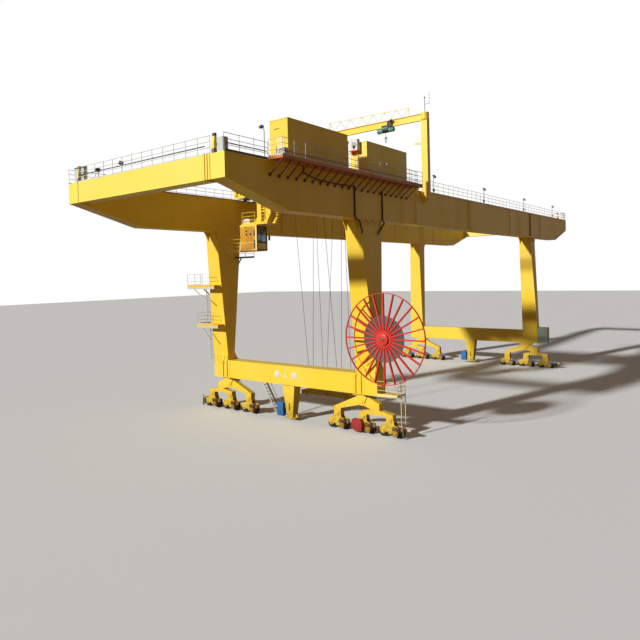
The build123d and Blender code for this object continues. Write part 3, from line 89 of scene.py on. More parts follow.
# %% [markdown]
# The camera stands where the photograph was taken: to the left of the cabin end, at the height of the
# upper landing. Its position came from matching corners of the crane with their places in the picture.
# A camera looks along its own -Z axis, so its matrix holds right, up and backwards as columns.
# The small shift slides the view down, because the horizon lies above the middle of the picture.

# %% Set up the camera
camera_place = Vector((-30.282, -17.559, 6.560))
camera_yaw, camera_pitch, camera_roll = 0.66117, -0.016442, -0.024104
focal_pixels, picture_pixels = 588.3, 640

forward = Vector((math.cos(camera_yaw) * math.cos(camera_pitch),
                  math.sin(camera_yaw) * math.cos(camera_pitch), math.sin(camera_pitch)))
level_right = Vector((math.sin(camera_yaw), -math.cos(camera_yaw), 0))
level_up = level_right.cross(forward)
right = math.cos(camera_roll) * level_right + math.sin(camera_roll) * level_up
up = -math.sin(camera_roll) * level_right + math.cos(camera_roll) * level_up

camera_data = bpy.data.cameras.new("camera")
camera_data.sensor_width = 36
camera_data.lens = 36 * focal_pixels / picture_pixels
camera_data.shift_y = -35 / picture_pixels
camera_data.clip_end = 500
camera = bpy.data.objects.new("camera", camera_data)
turn = Matrix((right, up, -forward)).transposed()
camera.matrix_world = Matrix.Translation(camera_place) @ turn.to_4x4()
bpy.context.scene.collection.objects.link(camera)
bpy.context.scene.camera = camera
bpy.context.scene.view_settings.view_transform = "Standard"
print("lens", round(camera_data.lens, 2), "mm")

# %% [markdown]
# Light: a sun from the cabin end, its height read off the reel's shadow, and an even sky. Together they
# reach about full white on a face turned to the sun, so a paint colour renders about as it is written.
# The photograph has hard light: a shaded wall is several times darker than a lit one. So the sky that
# lights the crane is dim and warm, while a ray from the camera or through glass meets it at full white.
# Gloss mirrors a share of that white. Light Path tells these rays apart.
# Nodes are added by the dozen in this file, so a small helper sets their options and inputs.

# %% Light the crane
def add(tree, kind, settings=None, inputs=None):
    """Adds a node, sets its options, and fills its inputs with values or with links."""
    made = tree.nodes.new(kind)
    for name, value in (settings or {}).items():
        setattr(made, name, value)
    for name, value in (inputs or {}).items():
        if isinstance(value, bpy.types.NodeSocket):
            tree.links.new(value, made.inputs[name])
        else:
            made.inputs[name].default_value = value
    return made


def colour_mix(tree, factor, a, b):
    """Colour a where the factor is 0, colour b where it is 1."""
    return add(tree, "ShaderNodeMix", {"data_type": "RGBA"}, {0: factor, 6: a, 7: b}).outputs[2]


gloss_share = 0.3


def seen_share(tree):
    """1 for a ray from the camera or through glass, and a part of that for a mirrored ray."""
    rays = add(tree, "ShaderNodeLightPath").outputs
    clear = add(tree, "ShaderNodeMath", {"operation": "MAXIMUM"},
                {0: rays["Is Camera Ray"], 1: rays["Is Transmission Ray"]}).outputs[0]
    mirrored = add(tree, "ShaderNodeMath", {"operation": "MULTIPLY"},
                   {0: rays["Is Glossy Ray"], 1: gloss_share}).outputs[0]
    return add(tree, "ShaderNodeMath", {"operation": "MAXIMUM"}, {0: clear, 1: mirrored}).outputs[0]


sun_data = bpy.data.lights.new("sun", "SUN")
sun_data.energy = 3.6
sun_data.angle = math.radians(3)
sun_data.color = (1.0, 0.97, 0.92)
sun = bpy.data.objects.new("sun", sun_data)
sun_from = Vector((-0.878, 0.246, 0.411))
sun.rotation_euler = sun_from.to_track_quat("Z", "Y").to_euler()
bpy.context.scene.collection.objects.link(sun)

sky = bpy.data.worlds.new("sky")
bpy.context.scene.world = sky
sky.use_nodes = True
sky.node_tree.nodes.clear()
dim_warm, white = (0.115, 0.08, 0.064, 1), (1, 1, 1, 1)
tint = colour_mix(sky.node_tree, seen_share(sky.node_tree), dim_warm, white)
glow = add(sky.node_tree, "ShaderNodeBackground", None, {"Color": tint})
add(sky.node_tree, "ShaderNodeOutputWorld", None, {"Surface": glow.outputs[0]})
print("sun", round(sun_data.energy, 2), "from", [round(v, 2) for v in sun_from])

# %% [markdown]
# The floor is one large square, and it isn't part of the crane. A pale floor would light the crane
# from below far more than real ground does, so it throws back less than it shows.

# %% Lay the floor
floor_reach, floor_z = 160, -0.002
floor_mesh = bpy.data.meshes.new("floor")
floor_mesh.from_pydata([(x * floor_reach, y * floor_reach, floor_z)
                        for x, y in ((-1, -1), (1, -1), (1, 1), (-1, 1))], [], [(0, 1, 2, 3)])
floor = bpy.data.objects.new("floor", floor_mesh)
bpy.context.scene.collection.objects.link(floor)
floor_paint = bpy.data.materials.new("pale_floor")
floor_paint.use_nodes = True
floor_tree = floor_paint.node_tree
floor_shader = floor_tree.nodes["Principled BSDF"]
thrown_back, shown = (0.2, 0.15, 0.12, 1), (0.9, 0.96, 1.0, 1)
floor_tint = colour_mix(floor_tree, seen_share(floor_tree), thrown_back, shown)
floor_tree.links.new(floor_tint, floor_shader.inputs["Base Color"])
floor_shader.inputs["Roughness"].default_value = 0.9
floor_mesh.materials.append(floor_paint)
print("floor", 2 * floor_reach, "m wide")

# %% [markdown]
# A shader node group is a box of nodes with named inputs and outputs, so several materials can share
# one effect. These helpers make an empty group, and the noise, ranges and products that effects need.
# The noise reads Object coordinates, so a pattern runs on from one side of a piece to the next.

# %% Helpers for shader groups
def new_group(name, inputs, outputs):
    """An empty shader group with named inputs and outputs."""
    group = bpy.data.node_groups.new(name, "ShaderNodeTree")
    for label, kind, value in inputs:
        socket = group.interface.new_socket(label, in_out="INPUT", socket_type=kind)
        socket.default_value = value
    for label, kind in outputs:
        group.interface.new_socket(label, in_out="OUTPUT", socket_type=kind)
    return group, group.nodes.new("NodeGroupInput"), group.nodes.new("NodeGroupOutput")


FLOAT, COLOUR = "NodeSocketFloat", "NodeSocketColor"


def stretched_noise(tree, stretch, scale, detail=4):
    """Noise on object coordinates, scaled apart along X, Y and Z."""
    where = add(tree, "ShaderNodeTexCoord")
    mapped = add(tree, "ShaderNodeMapping", None, {"Vector": where.outputs["Object"], "Scale": stretch})
    noise = add(tree, "ShaderNodeTexNoise", None,
                {"Vector": mapped.outputs[0], "Scale": scale, "Detail": detail})
    return noise.outputs["Fac"]


def ranged(tree, value, low, high, to_low=0.0, to_high=1.0):
    """Maps low..high to to_low..to_high and holds it there."""
    limits = {"From Min": low, "From Max": high, "To Min": to_low, "To Max": to_high}
    return add(tree, "ShaderNodeMapRange", None, {"Value": value, **limits}).outputs[0]


def times(tree, a, b):
    """The product of two values or links."""
    return add(tree, "ShaderNodeMath", {"operation": "MULTIPLY"}, {0: a, 1: b}).outputs[0]


print("helpers for shader groups are ready")

# %% [markdown]
# Outdoor paint is never one flat colour. Three effects come back in nearly every finish here, so each
# is a node group that is built once:
# - faded_paint: cloudy fading, dark streaks that rain has drawn downwards, and a fine orange-peel
#   surface. Its noise is stretched along Z, so the streaks run down a wall.
# - ground_grime: a mask that grows towards the ground, where brake dust and grease collect.
# - chips: small rust spots where paint has come off.

# %% Build the wear effects
fading, given, result = new_group(
    "faded_paint",
    [("Colour", COLOUR, (0.8, 0.5, 0.05, 1)), ("Faded", COLOUR, (0.9, 0.6, 0.2, 1)),
     ("Streak", COLOUR, (0.3, 0.2, 0.05, 1)), ("Streak Amount", FLOAT, 0.3), ("Roughness", FLOAT, 0.4)],
    [("Colour", COLOUR), ("Roughness", FLOAT), ("Height", FLOAT)])
clouds = ranged(fading, stretched_noise(fading, (1, 1, 1), 0.55, 5), 0.38, 0.68)
runs = ranged(fading, stretched_noise(fading, (1.6, 1.6, 0.22), 0.9, 6), 0.44, 0.8)
peel = stretched_noise(fading, (1, 1, 1), 55, 2)
cloudy_share = times(fading, clouds, 0.45)
faded = colour_mix(fading, cloudy_share, given.outputs["Colour"], given.outputs["Faded"])
streak_share = times(fading, runs, given.outputs["Streak Amount"])
streaked = colour_mix(fading, streak_share, faded, given.outputs["Streak"])
duller = add(fading, "ShaderNodeMath", {"operation": "MULTIPLY_ADD"},
             {0: runs, 1: 0.25, 2: given.outputs["Roughness"]}).outputs[0]
fading.links.new(streaked, result.inputs["Colour"])
fading.links.new(duller, result.inputs["Roughness"])
fading.links.new(peel, result.inputs["Height"])

grime, given, result = new_group(
    "ground_grime", [("Top", FLOAT, 1.2), ("Amount", FLOAT, 0.6)], [("Mask", FLOAT)])
place = add(grime, "ShaderNodeTexCoord")
height = add(grime, "ShaderNodeSeparateXYZ", None, {0: place.outputs["Object"]}).outputs["Z"]
share = add(grime, "ShaderNodeMath", {"operation": "DIVIDE"},
            {0: height, 1: given.outputs["Top"]}).outputs[0]
rising = ranged(grime, share, 0.1, 1.0, 1.0, 0.0)
patchy = ranged(grime, stretched_noise(grime, (1, 1, 1), 6, 5), 0.3, 0.65, 0.35, 1.0)
dirty_share = times(grime, times(grime, rising, patchy), given.outputs["Amount"])
grime.links.new(dirty_share, result.inputs["Mask"])

chips, given, result = new_group("chips", [("Size", FLOAT, 9.0), ("Amount", FLOAT, 0.5)], [("Mask", FLOAT)])
where = add(chips, "ShaderNodeTexCoord")
spots = add(chips, "ShaderNodeTexNoise", None,
            {"Vector": where.outputs["Object"], "Scale": given.outputs["Size"], "Detail": 8,
             "Roughness": 0.72})
spot_mask = ranged(chips, spots.outputs["Fac"], 0.66, 0.72)
chips.links.new(times(chips, spot_mask, given.outputs["Amount"]), result.inputs["Mask"])
print("effects:", fading.name, grime.name, chips.name)

# %% [markdown]
# Every paint below is one Principled shader with those groups in front of it. Colours are written as
# a painter would read them off a chart, in sRGB, and changed to the linear values that Blender counts
# in. Fixed values such as the coat go straight on the shader's own sockets.

# %% A recipe for paint
def linear(red, green, blue):
    """A chart colour, 0 to 255, as Blender's linear colour."""
    def one(value):
        value /= 255
        return value / 12.92 if value <= 0.04045 else ((value + 0.055) / 1.055) ** 2.4
    return one(red), one(green), one(blue), 1.0


def place_group(tree, group, values):
    """Puts a node group in a material with its own values."""
    made = tree.nodes.new("ShaderNodeGroup")
    made.node_tree = group
    for name, value in values.items():
        made.inputs[name].default_value = value
    return made


rust_brown, ground_dirt = (104, 58, 30), (52, 44, 36)
peel_depth = 0.0006


def paint(name, colour, faded, streak, streak_amount=0.3, roughness=0.42, coat=0.15, metallic=0.0,
          rust=0.35, chip_size=9.0, dirt_top=1.3, dirt_amount=0.65):
    """A finish with fading, streaks, rust spots and ground dirt. The three colours are chart colours."""
    material = bpy.data.materials.new(name)
    material.use_nodes = True
    tree = material.node_tree
    shader = tree.nodes["Principled BSDF"]
    shader.inputs["Metallic"].default_value = metallic
    shader.inputs["Coat Weight"].default_value = coat
    shader.inputs["Coat Roughness"].default_value = 0.25
    base = place_group(tree, fading, {
        "Colour": linear(*colour), "Faded": linear(*faded), "Streak": linear(*streak),
        "Streak Amount": streak_amount, "Roughness": roughness})
    spots = place_group(tree, chips, {"Size": chip_size, "Amount": rust})
    low = place_group(tree, grime, {"Top": dirt_top, "Amount": dirt_amount})
    rusty = colour_mix(tree, spots.outputs["Mask"], base.outputs["Colour"], linear(*rust_brown))
    dirty = colour_mix(tree, low.outputs["Mask"], rusty, linear(*ground_dirt))
    tree.links.new(dirty, shader.inputs["Base Color"])
    tree.links.new(base.outputs["Roughness"], shader.inputs["Roughness"])
    relief = add(tree, "ShaderNodeBump", None,
                 {"Strength": 0.35, "Distance": peel_depth, "Height": base.outputs["Height"]})
    tree.links.new(relief.outputs[0], shader.inputs["Normal"])
    return material


print("a chart grey of 128 is", round(linear(128, 128, 128)[0], 3), "in Blender's linear light")

# %% [markdown]
# The steelwork is yellow, but the photograph shows several yellows: the big boxes, the paler ties and
# small parts, a duller deck that feet have worn, and a golden cabin. Each gets three chart colours,
# fresh, faded and streaked, then how strong its streaks are, its roughness and its coat.

# %% Mix the yellows
yellow = paint("crane_yellow", (251, 213, 48), (252, 222, 98), (196, 138, 34), 0.12)
light_yellow = paint("light_yellow", (253, 230, 92), (254, 236, 130), (200, 150, 50), 0.12)
pale_yellow = paint("pale_yellow", (252, 232, 150), (250, 224, 130), (170, 130, 60), 0.25, 0.4)
deck_yellow = paint("deck_yellow", (226, 176, 44), (214, 172, 66), (140, 108, 50), 0.25, 0.6, 0.0,
                    rust=0.2, chip_size=14)
cabin_orange = paint("cabin_orange", (208, 150, 8), (238, 188, 26), (120, 66, 14), 0.6, 0.55, 0.05)
print("yellows:", yellow.name, light_yellow.name, pale_yellow.name, deck_yellow.name, cabin_orange.name)

# %% [markdown]
# The other finishes come from the same recipe. Bare iron and greased rope are partly metallic and have
# no coat. What stands near the ground has a lower limit for its dirt, so the dirt stays at its foot.

# %% Mix the other finishes
edge_brown = paint("deck_edge", (214, 128, 60), (206, 124, 66), (120, 70, 30), 0.35, 0.5, 0.0)
rail_grey = paint("handrail_grey", (214, 216, 210), (196, 200, 196), (110, 104, 92), 0.35, 0.4)
hoop_grey = paint("ladder_grey", (206, 207, 196), (222, 214, 170), (120, 108, 80), 0.35, 0.45)
door_grey = paint("knee_panel", (226, 220, 188), (216, 208, 176), (90, 84, 64), 0.35, 0.5)
machine_grey = paint("machine_grey", (92, 100, 104), (120, 126, 128), (46, 42, 38), 0.45, 0.45)
lamp_black = paint("lamp_black", (38, 38, 40), (60, 60, 62), (24, 22, 20), 0.3, 0.5)
casing_white = paint("casing_white", (226, 230, 232), (206, 212, 212), (120, 118, 108), 0.3, 0.4)
plate_white = paint("blank_plate", (232, 230, 220), (220, 214, 196), (130, 120, 100), 0.3, 0.35)
reel_red = paint("reel_red", (214, 42, 30), (226, 84, 62), (96, 24, 18), 0.35, 0.4)
clamp_red = paint("clamp_red", (198, 40, 28), (206, 66, 48), (80, 30, 20), 0.4, 0.4, dirt_top=0.9)
shaft_brown = paint("shaft_cap", (150, 66, 44), (170, 90, 60), (80, 36, 24), 0.35, 0.45)
duct_brown = paint("duct_brown", (70, 50, 30), (96, 70, 42), (36, 26, 16), 0.4, 0.6, 0.0)
motor_navy = paint("motor_navy", (44, 48, 72), (66, 66, 84), (24, 22, 24), 0.45, 0.45, dirt_top=0.7)
cabinet_blue = paint("cabinet_blue", (30, 132, 210), (70, 150, 214), (26, 48, 84), 0.35, 0.35)
hoist_green = paint("hoist_green", (96, 162, 148), (150, 196, 184), (60, 74, 66), 0.35, 0.4)
plate_green = paint("plate_green", (64, 122, 70), (96, 142, 92), (36, 60, 36), 0.4, 0.45, dirt_top=0.8)
peach_rubber = paint("buffer_peach", (250, 206, 172), (240, 190, 160), (150, 100, 76), 0.25, 0.7, 0.0,
                     dirt_amount=0.25)
cable_black = paint("cable_rubber", (104, 92, 90), (134, 120, 116), (64, 54, 52), 0.3, 0.6, 0.0, rust=0.0)
wheel_iron = paint("wheel_iron", (58, 50, 44), (78, 66, 54), (36, 28, 22), 0.5, 0.5, 0.0, metallic=0.6,
                   rust=0.5)
rope_steel = paint("greased_rope", (52, 50, 48), (78, 72, 64), (24, 20, 18), 0.5, 0.4, 0.0, metallic=0.6,
                   rust=0.2, chip_size=60)
print(len(bpy.data.materials), "materials so far")

# %% [markdown]
# The cabin's panes are tinted glass with a film of dust. A pane needs one fixed transmission value, and
# the dust shows in its roughness and its tint.

# %% Mix the glass
def clear_glass(name, colour, roughness=0.06):
    """Tinted window glass. A pane keeps a plain metallic and transmission value."""
    material = bpy.data.materials.new(name)
    material.use_nodes = True
    tree = material.node_tree
    shader = tree.nodes["Principled BSDF"]
    shader.inputs["Transmission Weight"].default_value = 0.85
    shader.inputs["IOR"].default_value = 1.45
    film = ranged(tree, stretched_noise(tree, (2, 2, 0.6), 3, 5), 0.4, 0.7, roughness, roughness + 0.16)
    tree.links.new(film, shader.inputs["Roughness"])
    cloudy = ranged(tree, stretched_noise(tree, (1, 1, 1), 1.6, 4), 0.35, 0.7)
    dusty = colour_mix(tree, times(tree, cloudy, 0.25), linear(*colour), linear(150, 156, 150))
    tree.links.new(dusty, shader.inputs["Base Color"])
    return material


cabin_pane = clear_glass("cabin_pane", (176, 192, 206))
print("glass:", cabin_pane.name)

# %% [markdown]
# Some shapes carry two colours, such as a yellow end stop with a black top, or a house with a pale roof
# edge. The mesh isn't cut for that: a copy of the finish takes another colour between two places on an
# axis, given in metres. Three bands are painted light and shade: the dark underside of the side platform
# and the dark top landing are painted shade, and the paler girder ends are a painted highlight.

# %% Mix the finishes with bands
def banded(name, source, bands, axis="Z"):
    """A copy of a finish with another colour between two places on an axis. bands: (low, high, colour)."""
    material = source.copy()
    material.name = name
    tree = material.node_tree
    colour_in = tree.nodes["Principled BSDF"].inputs["Base Color"]
    where = add(tree, "ShaderNodeTexCoord")
    place = add(tree, "ShaderNodeSeparateXYZ", None, {0: where.outputs["Object"]}).outputs[axis]
    for low, high, colour in bands:
        above = add(tree, "ShaderNodeMath", {"operation": "GREATER_THAN"}, {0: place, 1: low}).outputs[0]
        below = add(tree, "ShaderNodeMath", {"operation": "LESS_THAN"}, {0: place, 1: high}).outputs[0]
        inside = times(tree, above, below)
        tree.links.new(colour_mix(tree, inside, colour_in.links[0].from_socket, linear(*colour)), colour_in)
    return material


near_black, painted_highlight_lemon, cream = (44, 44, 46), (253, 232, 96), (250, 240, 196)
step_yellow = (240, 190, 50)
cabin_paint = banded("cabin_paint", cabin_orange, [(8.86, 9.0, (250, 206, 84)),
                                                   (7.7, 7.83, (196, 122, 34))])
rails_and_stops = banded("rails_and_stops", light_yellow, [(10.3, 10.548, (112, 104, 96)),
                                                           (10.93, 11.1, near_black)])
jib_paint = banded("jib_paint", yellow, [(14.033, 15, cream)])
cooler_paint = banded("cooler_paint", casing_white, [(11.25, 11.4695, (226, 84, 30))])
house_paint = banded("house_paint", yellow, [(11.815, 12, (250, 238, 180))])
small_house_paint = banded("small_house_paint", light_yellow, [(11.815, 12, cream)])
# Painted shade: below the toe plate, the side platform's underside and brackets are painted dark brown.
platform_paint_shaded_below = banded("platform_paint_shaded_below", edge_brown, [(9, 10.37, (92, 52, 28))])
# The yellow bands are the deck edges of the two lower landings. The dark band at the top landing, under the cabin,
# is painted shade.
landing_paint_shaded_top = banded("landing_paint_shaded_top", hoop_grey, [(4.2, 4.29, step_yellow), (6.12, 6.21, step_yellow),
                                                    (7.4, 7.57, (84, 66, 50))])
hoist_paint = banded("hoist_paint", hoist_green, [(13.7, 14, (40, 42, 44))])
end_cabinet_paint = banded("end_cabinet_paint", machine_grey, [(1.6, 2.75, (168, 182, 170)),
                                                               (10.3, 10.94, (196, 210, 206))])
# Painted highlight: the paler lemon on the girders' end faces copies the sunlit end face at the cabin end, and the
# far end takes the same.
girder_paint_lit_ends = banded("girder_paint_lit_ends", yellow, [(-18, -17.95, painted_highlight_lemon), (18.23, 19, painted_highlight_lemon)], "X")
print(len(bpy.data.materials), "materials")

# %% [markdown]
# The CAD shapes that are right as they are keep their mesh and only get a finish. One table says
# which paint each of them takes.

# %% Paint the CAD shapes
finishes = [
    (wheel_iron, "travel_wheels_near travel_wheels_far trolley_wheels"),
    (rails_and_stops, "trolley_rails"),
    (rail_grey, "railing_left railing_right railing_platform railing_ends trolley_railing"),
    (hoop_grey, "sill_ladder"),
    (landing_paint_shaded_top, "leg_landings"),
    (pale_yellow, "reel_landing"),
    (reel_red, "cable_reel"),
    (clamp_red, "rail_clamps"),
    (cable_black, "wound_cable"),
    (rope_steel, "hoist_ropes"),
    (machine_grey, "hoist_winch lower_sheaves upper_sheaves signal_mast"),
    (motor_navy, "travel_drives_near travel_drives_far"),
    (cabinet_blue, "control_cabinets"),
    (hoist_paint, "jib_hoist"),
    (jib_paint, "jib_beam"),
    (house_paint, "house_large"),
    (small_house_paint, "house_small"),
    (end_cabinet_paint, "end_cabinets"),
    (cooler_paint, "air_conditioners"),
    (peach_rubber, "travel_buffers"),
    (duct_brown, "cable_ducts"),
    (lamp_black, "floodlights"),
    (cabin_pane, "cabin_glass"),
    (deck_yellow, "trolley_deck"),
    (platform_paint_shaded_below, "side_platform"),
    (cabin_paint, "cabin"),
    (light_yellow, "end_ties"),
    (girder_paint_lit_ends, "girder_left girder_right"),
]
finish_of = {node: finish for finish, names in finishes for node in names.split()}
for node, shape in frame["nodes"].items():
    shape.data.materials.clear()
    shape.data.materials.append(finish_of.get(node, yellow))
print("painted", len(frame["nodes"]), "CAD shapes,", len(finish_of), "of them not yellow")

# %% [markdown]
# A tube, a turned form and a ring of bolts all need points on a circle that faces any way. One helper
# finds two directions at right angles to an axis, and the other walks round a centre in their plane.

# %% Points on a circle
def directions(axis):
    """An axis at length 1, and two more directions at right angles to it and to each other."""
    along = Vector(axis).normalized()
    side = along.orthogonal().normalized()
    return along, side, along.cross(side)


def circle(centre, side, across, radius, count):
    """Points round a centre, in the plane of two directions."""
    return [centre + radius * (math.cos(turn) * side + math.sin(turn) * across)
            for turn in (math.tau * k / count for k in range(count))]


print("the axis (0, 0, 2) points along", tuple(directions((0, 0, 2))[0]))

# %% [markdown]
# Every finished mesh becomes a piece in the same way: shaded smooth where it is round, painted, and
# handed to the body that it moves with. A piece that is a finer form of a CAD shape replaces that shape.

# %% Make a piece of a mesh
smooth_limit = math.radians(35)


def placed(name, mesh, finishes, body, replaces=()):
    """Makes a piece of a mesh: smooth where it is round, painted, and carried by its body if it has one."""
    for polygon in mesh.polygons:
        polygon.use_smooth = True
    mesh.set_sharp_from_angle(angle=smooth_limit)
    if not mesh.materials:
        for finish in finishes:
            mesh.materials.append(finish)
    piece = bpy.data.objects.new(name, mesh)
    bpy.context.scene.collection.objects.link(piece)
    if body:
        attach(piece, body)
    for node in replaces:
        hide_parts(node)
    print(name, len(mesh.polygons), "faces")
    return piece


print("edges over", round(math.degrees(smooth_limit)), "degrees stay sharp")

# %% [markdown]
# The next pieces are built in code, so a small collector keeps that code short. A Shape gathers boxes,
# tubes, plates and turned (lathe) forms in one mesh. Its last call recalculates the normals and bevels
# the sharp edges, because no real edge is perfectly sharp and a small bevel is what catches the light.

# %% A collector for hand-built shapes
bevel_limit = math.radians(50)


class Shape:
    """Gathers solid forms in one mesh. Faces take the finish that was chosen last with use()."""

    def __init__(self, finish):
        self.mesh = bmesh.new()
        self.finishes = []
        self.use(finish)

    def use(self, finish):
        """Chooses the finish of the faces that follow."""
        if finish not in self.finishes:
            self.finishes.append(finish)
        self.index = self.finishes.index(finish)
        return self

    def face(self, corners):
        """Adds one face in the chosen finish."""
        made = self.mesh.faces.new(corners)
        made.material_index = self.index

    def rings(self, rings):
        """Joins rings of points with quads and closes both ends."""
        rings = [[self.mesh.verts.new(point) for point in ring] for ring in rings]
        for near, far in zip(rings, rings[1:]):
            count = len(near)
            for i in range(count):
                self.face((near[i], near[(i + 1) % count], far[(i + 1) % count], far[i]))
        self.face(rings[0][::-1])
        self.face(rings[-1])
        return self

    def box(self, low, high):
        """A box between its lowest and its highest corner."""
        (x0, y0, z0), (x1, y1, z1) = low, high
        return self.rings([[(x0, y0, z), (x1, y0, z), (x1, y1, z), (x0, y1, z)] for z in (z0, z1)])

    def plate(self, corners, axis, low, high):
        """A flat outline pushed along one axis: its corners give the other two values in order."""
        def at(a, b, depth):
            values = [a, b]
            values.insert("xyz".index(axis), depth)
            return values
        return self.rings([[at(a, b, depth) for a, b in corners] for depth in (low, high)])

    def tube(self, points, radius, sides=8):
        """A tube along points. Each ring is carried on from the last one, so it doesn't twist."""
        points = [Vector(point) for point in points]
        rings = []
        side = None
        for i, point in enumerate(points):
            along = (points[min(i + 1, len(points) - 1)] - points[max(i - 1, 0)]).normalized()
            if side is None:
                side = along.orthogonal()
            side = (side - side.dot(along) * along).normalized()
            rings.append(circle(point, side, along.cross(side), radius, sides))
        return self.rings(rings)

    def lathe(self, centre, axis, profile, sides=24):
        """A turned form: pairs of radius and distance along the axis, from one end to the other."""
        centre = Vector(centre)
        along, side, across = directions(axis)
        return self.rings([circle(centre + along * reach, side, across, radius, sides)
                           for radius, reach in profile])

    def done(self, name, body, slot, bevel=0.0, replaces=()):
        """Finishes the mesh and makes it a piece. A bevel of 0 leaves the edges sharp."""
        bmesh.ops.recalc_face_normals(self.mesh, faces=self.mesh.faces)
        if bevel:
            sharp = [edge for edge in self.mesh.edges if edge.calc_face_angle(0) > bevel_limit]
            bmesh.ops.bevel(self.mesh, geom=sharp, offset=bevel, segments=1, affect="EDGES",
                            clamp_overlap=True)
        mesh = bpy.data.meshes.new(name)
        self.mesh.to_mesh(mesh)
        self.mesh.free()
        return placed(name, mesh, self.finishes, body, replaces)


calls = [name for name in vars(Shape) if not name.startswith("_")]
print("a Shape can", ", ".join(calls))

# %% [markdown]
# Railings and bolts repeat by a rule, so Geometry Nodes makes them. These helpers start a tree with
# named inputs, end it with real geometry and a finish, and run it on a mesh. Running it gives a plain
# mesh, so the finished piece carries no modifier and every face of it can be looked at.

# %% Helpers for node-grown pieces
def new_geometry_tree(name, inputs):
    """A Geometry Nodes tree with a geometry input, named inputs and one output."""
    tree = bpy.data.node_groups.new(name, "GeometryNodeTree")
    tree.interface.new_socket("Geometry", in_out="INPUT", socket_type="NodeSocketGeometry")
    for label, kind, value in inputs:
        socket = tree.interface.new_socket(label, in_out="INPUT", socket_type=kind)
        if value is not None:
            socket.default_value = value
    tree.interface.new_socket("Geometry", in_out="OUTPUT", socket_type="NodeSocketGeometry")
    return tree, tree.nodes.new("NodeGroupInput").outputs


def finish_tree(tree, geometry, material):
    """Ends a tree: real geometry in place of instances, painted, on the output."""
    real = add(tree, "GeometryNodeRealizeInstances", None, {"Geometry": geometry})
    painted = add(tree, "GeometryNodeSetMaterial", None, {"Geometry": real.outputs[0], "Material": material})
    add(tree, "NodeGroupOutput", None, {"Geometry": painted.outputs[0]})


def grown(name, mesh, tree, values, body, replaces=()):
    """Runs a tree on a mesh and keeps the result as a plain mesh on a body."""
    seed = bpy.data.objects.new(name + "_seed", mesh)
    bpy.context.scene.collection.objects.link(seed)
    modifier = seed.modifiers.new("grow", "NODES")
    modifier.node_group = tree
    labels = {item.name: item.identifier for item in tree.interface.items_tree if item.in_out == "INPUT"}
    for label, value in values.items():
        modifier[labels[label]] = value
    graph = bpy.context.evaluated_depsgraph_get()
    result_mesh = bpy.data.meshes.new_from_object(seed.evaluated_get(graph), depsgraph=graph)
    result_mesh.name = name
    result_mesh.materials.clear()
    result_mesh.polygons.foreach_set("material_index", [0] * len(result_mesh.polygons))
    bpy.data.objects.remove(seed)
    return placed(name, result_mesh, [values["Material"]], body, replaces)


def lines_mesh(name, lines):
    """A mesh of loose edges, one for each pair of points."""
    mesh = bpy.data.meshes.new(name)
    mesh.from_pydata([point for line in lines for point in line],
                     [(2 * i, 2 * i + 1) for i in range(len(lines))], [])
    return mesh


def lifted(tree, geometry, z):
    """Moves geometry up."""
    up_by = add(tree, "ShaderNodeCombineXYZ", None, {"Z": z}).outputs[0]
    return add(tree, "GeometryNodeTransform", None,
               {"Geometry": geometry, "Translation": up_by}).outputs[0]


def lifted_line(tree, line, z):
    """Moves the points of a curve up. The curve keeps its directions."""
    up_by = add(tree, "ShaderNodeCombineXYZ", None, {"Z": z}).outputs[0]
    return add(tree, "GeometryNodeSetPosition", None, {"Geometry": line, "Offset": up_by}).outputs[0]


print("helpers for node-grown pieces are ready")

# %% [markdown]
# Round handrails replace the square bars of the CAD model. A railing is posts at an even pitch under
# three tubes, with a toe plate at the floor, whatever its length. The tree takes plain lines along the
# floor and grows a railing over each of them: points at the post pitch get an upright with its foot
# and clamps, and copies of the line at three heights get a round profile. Changing one input changes
# every railing of the crane.

# %% Build the handrail tree
rails, given = new_geometry_tree("handrail", [
    ("Height", FLOAT, 0.56), ("Post Pitch", FLOAT, 0.575), ("Tube Radius", FLOAT, 0.0095),
    ("Toe Height", FLOAT, 0.05), ("Material", "NodeSocketMaterial", None)])
line = add(rails, "GeometryNodeMeshToCurve", None, {"Mesh": given["Geometry"]}).outputs[0]
stations = add(rails, "GeometryNodeResampleCurve", {"mode": "LENGTH"},
               {"Curve": line, "Length": given["Post Pitch"]}).outputs[0]
post = add(rails, "GeometryNodeMeshCylinder", None,
           {"Vertices": 8, "Radius": given["Tube Radius"], "Depth": given["Height"]}).outputs["Mesh"]
foot_radius = times(rails, given["Tube Radius"], 2.6)
foot = add(rails, "GeometryNodeMeshCylinder", None,
           {"Vertices": 8, "Radius": foot_radius, "Depth": 0.01}).outputs["Mesh"]
upright = add(rails, "GeometryNodeJoinGeometry")
rails.links.new(lifted(rails, post, times(rails, given["Height"], 0.5)), upright.inputs[0])
rails.links.new(lifted(rails, foot, 0.006), upright.inputs[0])
round_profile = add(rails, "GeometryNodeCurvePrimitiveCircle", None,
                    {"Resolution": 8, "Radius": given["Tube Radius"]}).outputs[0]
clamp = add(rails, "GeometryNodeMeshIcoSphere", None,
            {"Radius": times(rails, given["Tube Radius"], 1.5), "Subdivisions": 1}).outputs["Mesh"]
whole = add(rails, "GeometryNodeJoinGeometry")
tube_levels = (1.0, 0.68, 0.36)
for level in tube_levels:
    height_here = times(rails, given["Height"], level)
    rails.links.new(lifted(rails, clamp, height_here), upright.inputs[0])
    raised = lifted_line(rails, line, height_here)
    tube = add(rails, "GeometryNodeCurveToMesh", None,
               {"Curve": raised, "Profile Curve": round_profile, "Fill Caps": True}).outputs[0]
    rails.links.new(tube, whole.inputs[0])
posts = add(rails, "GeometryNodeInstanceOnPoints", None,
            {"Points": stations, "Instance": upright.outputs[0]}).outputs[0]
rails.links.new(posts, whole.inputs[0])
level_line = add(rails, "GeometryNodeSetCurveNormal", {"mode": "Z_UP"}, {"Curve": line}).outputs[0]
